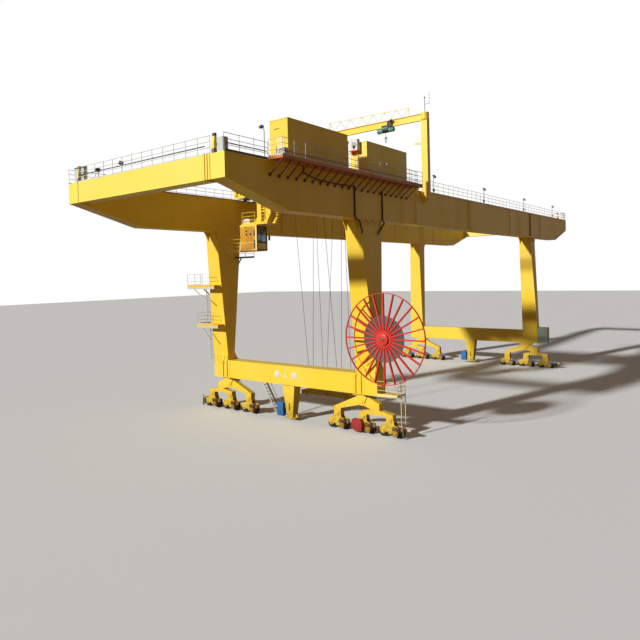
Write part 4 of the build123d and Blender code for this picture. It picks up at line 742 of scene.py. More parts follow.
low_line = lifted_line(rails, level_line, times(rails, given["Toe Height"], 0.5))
flat_profile = add(rails, "GeometryNodeCurvePrimitiveQuadrilateral", None,
                   {"Width": 0.006, "Height": given["Toe Height"]}).outputs[0]
toe = add(rails, "GeometryNodeCurveToMesh", None,
          {"Curve": low_line, "Profile Curve": flat_profile, "Fill Caps": True}).outputs[0]
rails.links.new(toe, whole.inputs[0])
finish_tree(rails, whole.outputs[0], given["Material"])
print("handrail tree:", len(rails.nodes), "nodes")

# %% [markdown]
# The lines run where the CAD railings stand: along both girders, round the platform of the houses,
# across the end ties, and round three sides of the trolley, whose railing travels with it. Each line is
# set in from its edge by one or two centimetres.

# %% Set the railings
inset, corner_inset = 0.01, 0.012
girder_start, girder_end = girder_low[0] + inset, girder_high[0] - inset
walk_y, tie_y = girder_high[1] - 0.02, girder_low[1] - 0.015
platform_start, platform_end = platform_low[0] + inset, platform_high[0] - inset
platform_corner, platform_y = platform_low[0] + corner_inset, platform_low[1] + corner_inset
trolley_start, trolley_end = deck_low[0] + inset, deck_high[0] - inset
trolley_y = deck_high[1] - inset
jib_gap = jib_x + 0.405
railing_runs = {
    "railing_left": [((girder_start, walk_y, girder_top), (girder_end, walk_y, girder_top))],
    "railing_right": [((platform_low[0] - 0.02, -walk_y, girder_top), (girder_start, -walk_y, girder_top)),
                      ((jib_gap, -walk_y, girder_top), (girder_end, -walk_y, girder_top))],
    "railing_platform": [((platform_start, platform_y, platform_top),
                          (platform_end, platform_y, platform_top)),
                         ((platform_corner, platform_y, platform_top),
                          (platform_corner, -4.45, platform_top))],
    "railing_ends": [((x, -tie_y, girder_top), (x, tie_y, girder_top))
                     for x in (girder_start + 0.02, girder_end - 0.02)],
    "trolley_railing": [((trolley_end, -trolley_y, deck_top), (trolley_end, trolley_y, deck_top))]
    + [((trolley_start, y, deck_top), (trolley_end, y, deck_top)) for y in (-trolley_y, trolley_y)]}
for node, runs in railing_runs.items():
    body = "trolley" if node == "trolley_railing" else "portal"
    grown(node + "_tubes", lines_mesh(node, runs), rails, {"Material": rail_grey}, body,
          [node])

# %% [markdown]
# The cable on the reel lies in one flat spiral, each turn against the last one, between two layers of
# spokes. An Archimedean spiral does exactly that: its radius grows by one cable thickness per turn.

# %% Wind the cable onto the reel
cable_thickness, turn_gap = 0.0262, 0.0012
first_radius, last_radius = 0.464, 0.916
steps_per_turn = 44
turns = (last_radius - first_radius) / cable_thickness
steps = int(turns * steps_per_turn)
spiral = []
for i in range(steps + 1):
    angle = math.tau * turns * i / steps
    radius = first_radius + cable_thickness * turns * i / steps
    spiral.append((reel_x, reel_y + radius * math.cos(angle), reel_z + radius * math.sin(angle)))
cable = Shape(cable_black)
cable.tube(spiral, (cable_thickness - turn_gap) / 2, sides=7)
cable.done("wound_cable_turns", "reel", "cable_black", replaces=["wound_cable"])
print(round(turns, 1), "turns of cable")

# %% [markdown]
# Bolts come by the hundred: round every wheel's hub cover, on the flanges of the legs, along the girder
# splices and round the reel's hub. Modelling them one by one would be slow, so a list of points is
# enough. Each point stores which way its bolt faces and how large it is, and Geometry Nodes puts a
# washer and a hexagonal head on it, turned by a random angle from a fixed seed, as a spanner leaves it.
# The bolt is built for a radius of 1, so the stored size is the radius of its head.

# %% Build the bolt tree
bolts, given = new_geometry_tree("bolt_heads", [("Seed", "NodeSocketInt", 4),
                                                ("Material", "NodeSocketMaterial", None)])
head = add(bolts, "GeometryNodeMeshCylinder", None,
           {"Vertices": 6, "Radius": 1.0, "Depth": 0.75}).outputs["Mesh"]
washer = add(bolts, "GeometryNodeMeshCylinder", None,
             {"Vertices": 8, "Radius": 1.35, "Depth": 0.2}).outputs["Mesh"]
bolt = add(bolts, "GeometryNodeJoinGeometry")
bolts.links.new(lifted(bolts, head, 0.55), bolt.inputs[0])
bolts.links.new(lifted(bolts, washer, 0.1), bolt.inputs[0])
facing = add(bolts, "GeometryNodeInputNamedAttribute", {"data_type": "FLOAT_VECTOR"},
             {"Name": "facing"}).outputs[0]
size = add(bolts, "GeometryNodeInputNamedAttribute", {"data_type": "FLOAT"}, {"Name": "size"}).outputs[0]
aimed = add(bolts, "FunctionNodeAlignRotationToVector", {"axis": "Z"}, {"Vector": facing}).outputs[0]
spin = add(bolts, "FunctionNodeRandomValue", {"data_type": "FLOAT"}, {"Seed": given["Seed"]})
spin.inputs[3].default_value = math.tau
turn_about = add(bolts, "ShaderNodeCombineXYZ", None, {"Z": spin.outputs[1]}).outputs[0]
turned = add(bolts, "FunctionNodeRotateRotation", {"rotation_space": "LOCAL"},
             {"Rotation": aimed, "Rotate By": turn_about}).outputs[0]
placed_bolts = add(bolts, "GeometryNodeInstanceOnPoints", None,
                   {"Points": given["Geometry"], "Instance": bolt.outputs[0], "Rotation": turned,
                    "Scale": size}).outputs[0]
finish_tree(bolts, placed_bolts, given["Material"])
print("bolt tree:", len(bolts.nodes), "nodes")

# %% [markdown]
# Real bolts stand in rings round a hub or in rows along a flange, so two helpers list such places. Each
# hub cover has a ring of six. Each splice of a girder has two rows of 22 on both faces, and the flange
# at each leg's head has a row on top and one below.

# %% Place the bolts
def bolt_piece(name, places, finish, body):
    """One piece of bolt heads from (point, facing, size) triples."""
    mesh = bpy.data.meshes.new(name + "_points")
    mesh.from_pydata([place for place, _, _ in places], [], [])
    mesh.attributes.new("facing", "FLOAT_VECTOR", "POINT")
    mesh.attributes.new("size", "FLOAT", "POINT")
    directions = [number for _, direction, _ in places for number in direction]
    mesh.attributes["facing"].data.foreach_set("vector", directions)
    mesh.attributes["size"].data.foreach_set("value", [radius for _, _, radius in places])
    return grown(name, mesh, bolts, {"Material": finish}, body)


def ring_of(centre, axis, radius, count, size):
    """Bolt places on a circle, all facing along its axis."""
    along, side, across = directions(axis)
    return [(point, along, size) for point in circle(Vector(centre), side, across, radius, count)]


def row_of(start, end, count, axis, size):
    """Bolt places along a straight line."""
    start, end = Vector(start), Vector(end)
    return [(start.lerp(end, k / (count - 1)), Vector(axis), size) for k in range(count)]


both_ways = (-1, 1)
corner_y, bogie_pitch = 3.95, 1.3
bogie_y = [side * (corner_y + step * bogie_pitch) for side in both_ways for step in (-1, 0, 1)]
wheel_offset, wheel_z, hub_x, hub_ring = 0.325, 0.2, 0.155, 0.052
splice_x, splice_z, splice_row, splice_count = (-6.08, -0.15, 6.0, 11.86), (8.86, 10.32), 0.045, 22
outer_face, inner_face = 4.431, 3.809
leg_flanges, flange_y, flange_z = ((-10.905, -9.245), (9.405, 10.335)), 4.56, ((8.658, 1), (8.622, -1))
flange_pitch, flange_margin = 0.12, 0.04

portal_bolts = []
for rail_x in track_x:
    for y in bogie_y:
        for wheel_y in (y - wheel_offset, y + wheel_offset):
            for side in both_ways:
                hub = (rail_x + side * hub_x, wheel_y, wheel_z)
                portal_bolts += ring_of(hub, (side, 0, 0), hub_ring, 6, 0.009)
for x in splice_x:
    for side in both_ways:
        for face_y, out in ((side * outer_face, side), (side * inner_face, -side)):
            for row_x in (x - splice_row, x + splice_row):
                row_low, row_high = ((row_x, face_y, z) for z in splice_z)
                portal_bolts += row_of(row_low, row_high, splice_count, (0, out, 0), 0.011)
for x0, x1 in leg_flanges:
    for side in both_ways:
        count = int((x1 - x0) / flange_pitch)
        for z, up_or_down in flange_z:
            row_start = (x0 + flange_margin, side * flange_y, z)
            row_end = (x1 - flange_margin, side * flange_y, z)
            portal_bolts += row_of(row_start, row_end, count, (0, 0, up_or_down), 0.012)
bolt_piece("bolts_portal", portal_bolts, machine_grey, "portal")

reel_bolts = []
for side in both_ways:
    for from_middle, radius, count, size in ((0.0495, 0.285, 24, 0.008), (0.12, 0.18, 12, 0.012)):
        ring_centre = (reel_x + side * from_middle, reel_y, reel_z)
        reel_bolts += ring_of(ring_centre, (side, 0, 0), radius, count, size)
bolt_piece("bolts_reel", reel_bolts, machine_grey, "reel")
jib_bolts = ring_of((jib_x, jib_y, 14.0503), (0, 0, 1), 0.15, 12, 0.01)
bolt_piece("bolts_jib", jib_bolts, machine_grey, "jib")

# %% [markdown]
# Each bogie has a geared motor. A real one is a ribbed casting: the ribs shed heat. A lathe profile that
# steps between two radii gives all of them at once. The disc brake behind it has a faded red guard.

# %% Dress the travel drives
def step_profile(start, end, count, low, high, share=0.45):
    """A lathe profile of ribs: count of them between two distances along the axis."""
    pitch = (end - start) / count
    profile = []
    for i in range(count):
        rib_start = start + i * pitch
        rib_end = rib_start + pitch * share
        profile += [(low, rib_start), (high, rib_start + 0.001), (high, rib_end), (low, rib_end + 0.001)]
    return profile


motor_z, gear_middle_z = 0.4, 0.3
gear_case = [(-0.09, 0.09), (0.09, 0.09), (0.12, 0.25), (0.1, 0.47), (-0.1, 0.54), (-0.15, 0.47),
             (-0.12, 0.25)]
gear_cover = [(a * 0.72, gear_middle_z + (z - gear_middle_z) * 0.72) for a, z in gear_case]
ribbed_motor = [(0.05, -0.12), (0.078, -0.118)] + step_profile(-0.1, 0.21, 12, 0.082, 0.096)
ribbed_motor += [(0.09, 0.215), (0.09, 0.29), (0.055, 0.298)]
brake_disc = [(0.05, 0.3), (0.075, 0.302), (0.075, 0.32), (0.03, 0.322)]
brake_guard = [(0.06, 0.324), (0.086, 0.326), (0.086, 0.344), (0.06, 0.35), (0.02, 0.35)]


def travel_drive(motors, guards, rail_x, y, finish):
    """One geared motor beside a wheel: case, cover, ribbed motor, terminal box, brake disc and guard."""
    x = rail_x - 0.24
    motors.use(cabin_orange)
    motors.plate([(y + a, z) for a, z in gear_case], "x", rail_x - 0.285, rail_x - 0.155)
    motors.plate([(y + a, z) for a, z in gear_cover], "x", rail_x - 0.3, rail_x - 0.286)
    motors.use(finish).lathe((x, y, motor_z), (0, -1, 0), ribbed_motor, 20)
    motors.box((x - 0.136, y - 0.22, 0.38), (x - 0.06, y - 0.08, 0.47))
    motors.use(lamp_black).lathe((x, y, motor_z), (0, -1, 0), brake_disc, 16)
    guards.lathe((x, y, motor_z), (0, -1, 0), brake_guard, 20)


for name, rail_x, finish in (("near", track_x[0], motor_navy), ("far", track_x[1], cabinet_blue)):
    motors = Shape(cabin_orange)
    guards = Shape(peach_rubber)
    for y in bogie_y:
        travel_drive(motors, guards, rail_x, y - wheel_offset, finish)
    motors.done("travel_motors_" + name, "portal", "machinery_grey", 0.004, ["travel_drives_" + name])
    guards.done("brake_guards_" + name, "portal", "buffer_peach", 0.002)

# %% [markdown]
# The travel buffers take the bump if the crane runs to the end of its track. Each is a soft cone in
# folds on a painted plate, and the plate is stiffened with two gussets.

# %% Dress the travel buffers
buffer_plate = [(-0.125, 0.12), (-0.105, 0.1), (0.105, 0.1), (0.125, 0.12), (0.125, 0.42), (0.105, 0.44),
                (-0.105, 0.44), (-0.125, 0.42)]
folded_cone = [(0.074, 0.0), (0.074, 0.03)]
for i in range(6):
    fold, radius = 0.035 + i * 0.043, 0.068 - i * 0.0045
    folded_cone += [(radius - 0.006, fold), (radius, fold + 0.012), (radius, fold + 0.028),
                    (radius - 0.006, fold + 0.04)]
folded_cone += [(0.04, 0.3), (0.034, 0.316), (0.02, 0.32)]
gusset_y, plate_back, plate_face = 5.73, 5.805, 5.83


def travel_buffer(shape, x, side):
    """One buffer at an end of a rail: its plate, two gussets behind the plate, and the cone."""
    y0, y1 = sorted((side * plate_back, side * plate_face))
    shape.use(plate_green).plate([(x + a, z) for a, z in buffer_plate], "y", y0, y1)
    y0, y1 = sorted((side * gusset_y, side * (plate_back + 0.001)))
    for x0, x1 in ((x - 0.125, x - 0.09), (x + 0.09, x + 0.125)):
        shape.box((x0, y0, 0.25), (x1, y1, 0.41))
    shape.use(peach_rubber).lathe((x, side * plate_face, 0.35), (0, side, 0), folded_cone, 20)


buffers = Shape(plate_green)
for rail_x in track_x:
    for side in both_ways:
        travel_buffer(buffers, rail_x, side)
buffers.done("travel_buffer_cones", "portal", "buffer_peach", 0.003, ["travel_buffers"])

# %% [markdown]
# The operator's cabin has rubber window frames, a wiper, a dark sun band over the front window, a
# mirror on an arm, and air vents with slats. A window frame is four strips round its opening, so a
# helper makes it for any wall. The left and right walls stand across X, the front wall across Y.

# %% Trim the operator's cabin
def window_frame(shape, axis, at, out, low, high, width=0.028, depth=0.014):
    """Four strips round an opening in a wall across one axis. low and high are its corners."""
    (a0, b0), (a1, b1) = low, high
    near, far = sorted((at, at + out * depth))
    w = width
    for c0, c1, d0, d1 in ((a0 - w, a1 + w, b0 - w, b0), (a0 - w, a1 + w, b1, b1 + w),
                           (a0 - w, a0, b0, b1), (a1, a1 + w, b0, b1)):
        shape.plate([(c0, d0), (c1, d0), (c1, d1), (c0, d1)], axis, near, far)


def upright_plate(shape, axis, low, high, near, far):
    """A rectangular plate across one axis, from two corners and its two faces."""
    (a0, b0), (a1, b1) = low, high
    shape.plate([(a0, b0), (a1, b0), (a1, b1), (a0, b1)], axis, near, far)


cabin_border, sill_z = 0.015, 8.17
cabin_left, cabin_right = cabin_low[0] + cabin_border, cabin_high[0] - cabin_border
cabin_front, cabin_floor = cabin_low[1] + cabin_border, cabin_low[2]
trim = Shape(lamp_black)
window_frame(trim, "y", cabin_front, -1, (glass_low[0], sill_z), (-10.26, glass_high[2]))
window_frame(trim, "y", cabin_front, -1, (glass_low[0], glass_low[2]), (-10.26, sill_z - 0.05), 0.018)
window_frame(trim, "x", cabin_right, 1, (1.17, sill_z), (glass_high[1], glass_high[2]))
wiper_arm = [(-10.55, 1.08, 8.19), (-10.6, 1.078, 8.4), (-10.66, 1.08, 8.62)]
trim.tube(wiper_arm, 0.007, 6)
trim.box((-10.665, 1.076, 8.3), (-10.655, 1.084, 8.7))
sun_band = [(1.09, 8.885), (1.09, 8.935), (1.1, 8.935), (1.1, 8.885)]
trim.plate(sun_band, "x", -10.88, -10.22)
mirror_arm = [(-10.2, 1.12, 8.52), (-10.13, 1.1, 8.5), (-10.09, 1.09, 8.46)]
trim.tube(mirror_arm, 0.009, 8)
mirror = [(-10.13, 8.24), (-10.04, 8.24), (-10.03, 8.26), (-10.03, 8.46), (-10.04, 8.48), (-10.13, 8.48)]
trim.plate(mirror, "y", 1.06, 1.1)
slat_face = cabin_left - 0.008
for y, z in ((1.754, 8.666), (1.74, 8.513), (1.476, 8.52)):
    trim.box((cabin_left - 0.002, y - 0.056, z - 0.04), (cabin_left + 0.002, y + 0.056, z + 0.044))
    for i in range(4):
        slat_z = z - 0.03 + i * 0.017
        trim.box((slat_face, y - 0.05, slat_z), (cabin_left, y + 0.05, slat_z + 0.01))
trim.box((slat_face, 1.72, 8.835), (cabin_left, 1.86, 8.865))
for z0, z1 in ((8.44, 8.7), (7.88, 8.24)):
    upright_plate(trim, "x", (1.2, z0), (1.28, z1), slat_face, cabin_left)
trim.done("cabin_trim", "trolley", "frame_yellow", 0.003)

# %% [markdown]
# Pale round posts close the cabin's front corners, with a pale plate beside the near one, a grey panel
# under the front window, two pale strips along the left wall, and a bent grab handle.

# %% Add the cabin's corner posts
corner = Shape(pale_yellow)
corner_post = [(0.016, 0.0), (0.02, 0.01), (0.02, 1.1), (0.016, 1.12)]
for x in (cabin_left + 0.008, cabin_right - 0.008):
    corner.lathe((x, 1.108, cabin_floor), (0, 0, 1), corner_post, 12)
upright_plate(corner, "x", (1.094, 7.78), (1.18, 8.92), cabin_left - 0.009, cabin_left + 0.005)
corner.use(door_grey)
upright_plate(corner, "y", (-10.83, 7.82), (-10.27, 8.11), 1.091, 1.098)
corner.use(pale_yellow)
upright_plate(corner, "x", (1.1, 8.125), (2.15, 8.145), cabin_left - 0.006, cabin_left + 0.001)
upright_plate(corner, "x", (1.16, 7.79), (2.1, 7.81), cabin_left - 0.006, cabin_left + 0.001)
grab_handle = [(-10.9, 2.02, 8.3), (-10.93, 2.02, 8.32), (-10.93, 2.02, 8.62), (-10.9, 2.02, 8.64)]
corner.tube(grab_handle, 0.008, 8)
corner.done("cabin_corner_posts", "trolley", "frame_yellow", 0.002)

# %% [markdown]
# Inside are a chair on its foot and two consoles with a lever each. Through tinted glass they only
# show as shapes, which is enough to make the cabin look used.

# %% Furnish the cabin
inside = Shape(plate_white)
chair_foot = [(1.5, 7.78), (1.86, 7.78), (1.86, 7.84), (1.78, 8.14), (1.58, 8.14), (1.5, 7.84)]
chair_shell = [(1.44, 8.14), (1.84, 8.14), (1.9, 8.2), (1.96, 8.62), (1.91, 8.64), (1.82, 8.22),
               (1.44, 8.19)]
console = [(1.38, 7.78), (1.8, 7.78), (1.8, 8.24), (1.5, 8.3), (1.38, 8.26)]
lever = [(0.028, 0.0), (0.03, 0.02), (0.009, 0.03), (0.008, 0.1), (0.018, 0.11), (0.02, 0.13),
         (0.01, 0.145)]
inside.plate(chair_foot, "x", -10.66, -10.44)
inside.plate(chair_shell, "x", -10.72, -10.38)
for x0, x1 in ((-10.84, -10.76), (-10.34, -10.26)):
    inside.plate(console, "x", x0, x1)
    inside.lathe(((x0 + x1) / 2, 1.46, 8.27), (0, 0, 1), lever, 12)
inside.done("cabin_inside", "trolley", "machinery_grey", 0.004)

# %% [markdown]
# Pairs of flanges join the cross ties to the right girder. Each is a lip wider than its tie.

# %% Add the tie flanges
tie_depth, tie_bottom, lip = 0.56, 9.6, 0.022
flanges = Shape(cabin_orange)
for x0, x1 in ((girder_low[0], girder_low[0] + tie_depth), (girder_high[0] - tie_depth, girder_high[0])):
    for y in (-3.68, -3.56):
        flanges.box((x0 - lip, y, tie_bottom - lip), (x1 + lip, y + 0.014, girder_top + 0.012))
flanges.done("tie_flanges", "portal", "frame_yellow", 0.002)

# %% [markdown]
# Thick pipes with the lighting cables run along the railings, held by saddle clamps at even steps. At
# the girder's end a black band along the edge of the walkway is painted shade of the toe plate.

# %% Lay the pipes along the railings
def clamped_pipe(shape, start, end, radius, clamps, finish):
    """A straight pipe with a saddle clamp at even steps."""
    start, end = Vector(start), Vector(end)
    shape.use(finish).tube([start, end], radius, 12)
    along = (end - start).normalized()
    saddle = [(radius + 0.006, 0), (radius + 0.006, 0.024)]
    for k in range(clamps):
        middle = start.lerp(end, (k + 0.5) / clamps)
        shape.use(lamp_black).lathe(middle - along * 0.012, along, saddle, 8)


rail_pipes = Shape(motor_navy)
clamped_pipe(rail_pipes, (-17.905, 3.74, 10.66), (-17.905, -3.5, 10.66), 0.017, 7, motor_navy)
clamped_pipe(rail_pipes, (-17.88, -4.4, 10.66), (-16.05, -4.4, 10.66), 0.017, 3, motor_navy)
clamped_pipe(rail_pipes, (-15.95, -5.03, 10.62), (-6.65, -5.03, 10.62), 0.013, 12, machine_grey)
# Painted shade: a black band over the shaded side of the toe plate, from the corner to the platform.
rail_pipes.use(lamp_black).box((-17.88, -4.44, girder_top + 0.001), (-16.05, -4.41, girder_top + 0.075))
rail_pipes.done("railing_pipes", "portal", "machinery_grey")

# %% [markdown]
# The electrical houses have a steel door in the end wall. A door is a frame, a leaf with a pressed
# panel, three hinges, a lever, and a louvre at its foot for cool air. The louvre blades slope outwards
# and down, so rain can't run in. The large house also has a slot high in the wall for air to leave.

# %% Fit the doors of the electrical houses
hinge = [(0.006, 0), (0.006, 0.04)]


def house_door(shape, x):
    """A door in a wall across X, seen from the side of lower X."""
    shape.use(pale_yellow)
    upright_plate(shape, "x", (-4.676, 10.584), (-4.324, 11.216), x - 0.0056, x - 0.0008)
    upright_plate(shape, "x", (-4.64, 10.93), (-4.36, 11.18), x - 0.009, x - 0.005)
    for i in range(8):
        z = 10.64 + i * 0.029
        blade = [(x - 0.0052, z + 0.02), (x - 0.012, z), (x - 0.012, z - 0.003), (x - 0.0052, z + 0.016)]
        shape.plate(blade, "y", -4.62, -4.38)
    shape.use(lamp_black)
    for z in (10.66, 10.9, 11.14):
        shape.lathe((x - 0.007, -4.682, z - 0.02), (0, 0, 1), hinge, 8)
    shape.box((x - 0.012, -4.352, 10.86), (x - 0.005, -4.336, 10.92))
    shape.tube([(x - 0.012, -4.344, 10.9), (x - 0.018, -4.344, 10.9), (x - 0.018, -4.39, 10.9)], 0.0035, 6)


roof_edge = 0.012
large_house_x, small_house_x = (corners_of(node)[0][0] + roof_edge
                                for node in ("house_large", "house_small"))
doors = Shape(yellow)
for wall_x in (large_house_x, small_house_x):
    house_door(doors, wall_x)
doors.box((large_house_x - 0.006, -4.46, 11.485), (large_house_x + 0.001, -4.24, 11.51))
doors.done("house_doors", "portal", "frame_yellow", 0.0012)

# %% [markdown]
# Lamps light the walkway. Two have their heads on poles that bend over, and a round lamp stands on a
# straight pole in front of the small house, with a thin mast beside it.

# %% Stand the lamps on the platform
def lamp_on_pole(shape, foot, height, reach, finish, radius=0.013):
    """A pole that bends over, with a tilted lamp head."""
    x, y, z = foot
    tip_y, tip_z = y + reach, z + height
    pole = [(x, y, z), (x, y, z + height * 0.86), (x, y + reach * 0.3, z + height * 0.97), (x, tip_y, tip_z)]
    shape.use(finish).tube(pole, radius, 8)
    out = 1 if reach > 0 else -1
    head = [(tip_y - out * 0.05, tip_z - 0.03), (tip_y + out * 0.07, tip_z - 0.075),
            (tip_y + out * 0.09, tip_z - 0.02), (tip_y - out * 0.02, tip_z + 0.035)]
    shape.plate(head if out > 0 else head[::-1], "x", x - 0.07, x + 0.07)


lamps = Shape(casing_white)
lamp_on_pole(lamps, (-9.66, -5.03, platform_top), 0.55, -0.03, casing_white)
lamp_on_pole(lamps, (-15.6, -3.9, girder_top), 1.28, 0.1, lamp_black)
lamps.use(lamp_black).tube([(-11.24, -4.3, platform_top), (-11.24, -4.3, 11.74)], 0.012, 8)
lamps.lathe((-11.28, -4.3, 11.74), (1, 0, 0), [(0.03, 0), (0.065, 0.008), (0.065, 0.03), (0.02, 0.07)], 16)
lamps.tube([(-11.0, -4.3, platform_top), (-11.0, -4.3, 11.95)], 0.006, 6)
lamps.done("platform_lamps", "portal", "machinery_grey", 0.002)

# %% [markdown]
# An air conditioner shows its fan through a wire guard: rings and cross wires in front of a dark
# opening with blades in it. Slots in the side of the case let the warm air out.

# %% Dress the air conditioners
def ring_points(centre, axis, radius, count=28):
    """Points of a closed circle, the first one again at the end."""
    _, side, across = directions(axis)
    points = circle(Vector(centre), side, across, radius, count)
    return points + points[:1]


fan_blade = [(0.016, -0.2), (0.085, -0.42), (0.088, 0.28), (0.016, 0.35)]


def fan(shape, x, y, z):
    """A fan in a wall across X: its dark opening, five blades, a hub, and the wire guard."""
    shape.use(machine_grey).lathe((x - 0.0005, y, z), (-1, 0, 0), [(0.094, 0), (0.094, 0.0022)], 28)
    shape.use(casing_white)
    for k in range(5):
        turn = math.tau * k / 5
        shape.plate([(y + r * math.cos(turn + a), z + r * math.sin(turn + a)) for r, a in fan_blade],
                    "x", x - 0.0045, x - 0.003)
    shape.lathe((x, y, z), (-1, 0, 0), [(0.02, 0.003), (0.02, 0.0085), (0.012, 0.01)], 12)
    for radius in (0.035, 0.05, 0.065, 0.08, 0.094):
        shape.tube(ring_points((x - 0.008, y, z), (1, 0, 0), radius), 0.0016, 5)
    for turn in (0.4, 1.45, 2.5):
        dy, dz = 0.108 * math.cos(turn), 0.108 * math.sin(turn)
        shape.tube([(x - 0.008, y - dy, z - dz), (x - 0.008, y + dy, z + dz)], 0.0022, 5)


fan_guards = Shape(casing_white)
for x, y, z, low, high in ((-15.7, -4.73, 10.655, 10.52, 10.79), (-10.95, -4.4, 11.69, 11.47, 11.91)):
    fan(fan_guards, x, y, z)
    side_y = y - 0.14
    fan_guards.use(machine_grey)
    for i in range(int((high - low) / 0.03) - 2):
        slot_z = low + 0.035 + i * 0.03
        fan_guards.box((x + 0.03, side_y - 0.0012, slot_z), (x + 0.15, side_y + 0.002, slot_z + 0.008))
fan_guards.done("cooler_guards", "portal", "casing_white")

# %% [markdown]
# Two round plates and a three-cornered one are fixed to the near sill. The round ones are turned and
# the other is an outline pushed along X, all as thin as sheet metal.

# %% Fix the plates on the sill
plates = Shape(plate_white)
sill_flange = 0.024
sill_face = corners_of("sill_near")[0][0] + sill_flange
for y, z in ((0.584, 2.088), (-0.438, 2.084)):
    plates.lathe((sill_face, y, z), (-1, 0, 0), [(0.16, 0), (0.16, 0.004), (0.156, 0.006)], 40)
corners = [(0.097 + 0.175 * math.cos(turn), 2.045 + 0.175 * math.sin(turn))
           for turn in (math.pi / 2 + math.tau * k / 3 for k in range(3))]
plates.use(pale_yellow).plate(corners, "x", sill_face - 0.005, sill_face)
plates.done("sill_plates", "portal", "frame_yellow", 0.001)

# %% [markdown]
# The blue switch cabinets get a raised door with hinges, a twist handle and air slots, and a roof plate
# that throws the rain off.

# %% Fit the cabinet doors
cabinet_foot, cabinet_top, cabinet_y0, cabinet_y1 = 0.165, 0.765, 0.34, 0.72
cabinets = Shape(cabinet_blue)
for x in (-10.24, 9.78):
    cabinets.use(cabinet_blue)
    upright_plate(cabinets, "x", (cabinet_y0 + 0.015, cabinet_foot + 0.04),
                  (cabinet_y1 - 0.015, cabinet_top - 0.03), x - 0.008, x + 0.001)
    cabinets.box((x - 0.02, cabinet_y0 - 0.014, cabinet_top + 0.001),
                 (x + 0.22, cabinet_y1 + 0.012, cabinet_top + 0.018))
    cabinets.use(lamp_black)
    cabinets.box((x - 0.014, cabinet_y0 + 0.03, cabinet_foot + 0.3),
                 (x - 0.007, cabinet_y0 + 0.045, cabinet_foot + 0.38))
    for z in (cabinet_foot + 0.1, cabinet_top - 0.12):
        cabinets.lathe((x - 0.01, cabinet_y1 - 0.012, z), (0, 0, 1), hinge, 8)
    for i in range(6):
        slot_z = cabinet_foot + 0.08 + i * 0.018
        cabinets.box((x - 0.0095, cabinet_y0 + 0.1, slot_z), (x - 0.007, cabinet_y1 - 0.1, slot_z + 0.006))
cabinets.done("cabinet_doors", "portal", "cabinet_blue", 0.0015)

# %% [markdown]
# The reel's spokes carry the weight of the wound cable, so each is a bar behind a flat strip that is
# widest at the hub. Seen from the front the strips make the red star round the hub. A brown cap closes
# the shaft. It belongs to the bracket, so it doesn't turn with the reel.

# %% Face the reel's spokes
spoke_count, spoke_layer, half_strip = 24, 0.0345, 0.0095
strip_edge = [(0.24, 0.034), (0.9, 0.03), (1.77, 0.024)]
strip = strip_edge + [(reach, -half) for reach, half in strip_edge[::-1]]
stars = Shape(reel_red)
for side in both_ways:
    x = reel_x + side * spoke_layer
    for k in range(spoke_count):
        turn = math.tau * k / spoke_count
        along, across = Vector((math.cos(turn), math.sin(turn))), Vector((-math.sin(turn), math.cos(turn)))
        outline = [along * reach + across * half for reach, half in strip]
        stars.plate([(reel_y + a, reel_z + b) for a, b in outline], "x", x - half_strip, x + half_strip)
hub_dish = [(0.215, -0.03), (0.2, 0.001), (0.1, 0.0035), (0.095, 0.003)]
stars.lathe((reel_x - 0.12, reel_y, reel_z), (-1, 0, 0), hub_dish, 32)
stars.done("spoke_strips", "reel", "reel_red", 0.0015)
cap = Shape(shaft_brown)
shaft_cap = [(0.088, 0), (0.088, 0.022), (0.06, 0.03), (0.02, 0.032)]
cap.lathe((-10.976, reel_y, reel_z), (-1, 0, 0), shaft_cap, 28)
cap.done("reel_shaft_cap", "portal", "reel_red", 0.002)

# %% [markdown]
# The hoist ropes join the trolley to the load, so their length changes as the load moves. Each fall
# here is a straight prism with points at its two ends only, made at the load's present height and carried
# by no body. Under each lower sheave the rope runs round in a half turn that simply rides with the load.

# %% Hang the rope falls
sheave_x, sheave_y = 0.56, 0.87
lower_z, upper_z = 1.49, joints["hoist"]["deforming_nodes"][0]["fixed_end_z_m"]
rope_radius, wrap_radius = 0.009, 0.1393


def fall(low_x, high_x, y, side):
    """The two ends of a fall that touches the lower and the upper sheave on the same side."""
    rise, run = upper_z - lower_z, high_x - low_x
    shift = Vector((side * rise, 0, -side * run)).normalized() * wrap_radius
    return [Vector((low_x, y, lower_z)) + shift, Vector((high_x, y, upper_z)) + shift]


falls = Shape(rope_steel)
wraps = Shape(rope_steel)
half_turn = [math.pi * k / 24 for k in range(25)]
for side in both_ways:
    x = load_x + side * sheave_x
    for y in (-sheave_y, sheave_y):
        falls.tube(fall(x, x + side * 0.95, y, side), rope_radius, 14)
        falls.tube(fall(x, x - side * 0.35, y, -side), rope_radius, 14)
        wrap = [(x + wrap_radius * math.cos(a), y, lower_z - wrap_radius * math.sin(a)) for a in half_turn]
        wraps.tube(wrap, rope_radius, 10)
rope_falls = falls.done("rope_falls", None, "rope_steel", replaces=["hoist_ropes"])
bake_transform(rope_falls)
wraps.done("sheave_wraps", "load", "rope_steel")

# %% [markdown]
# The winch: a drum carries its rope in two fields that wind towards the middle. From any distance the
# turns show as fine ridges, so a turned profile with one ridge per turn is enough. The motor's cooling
# ribs are made the same way.

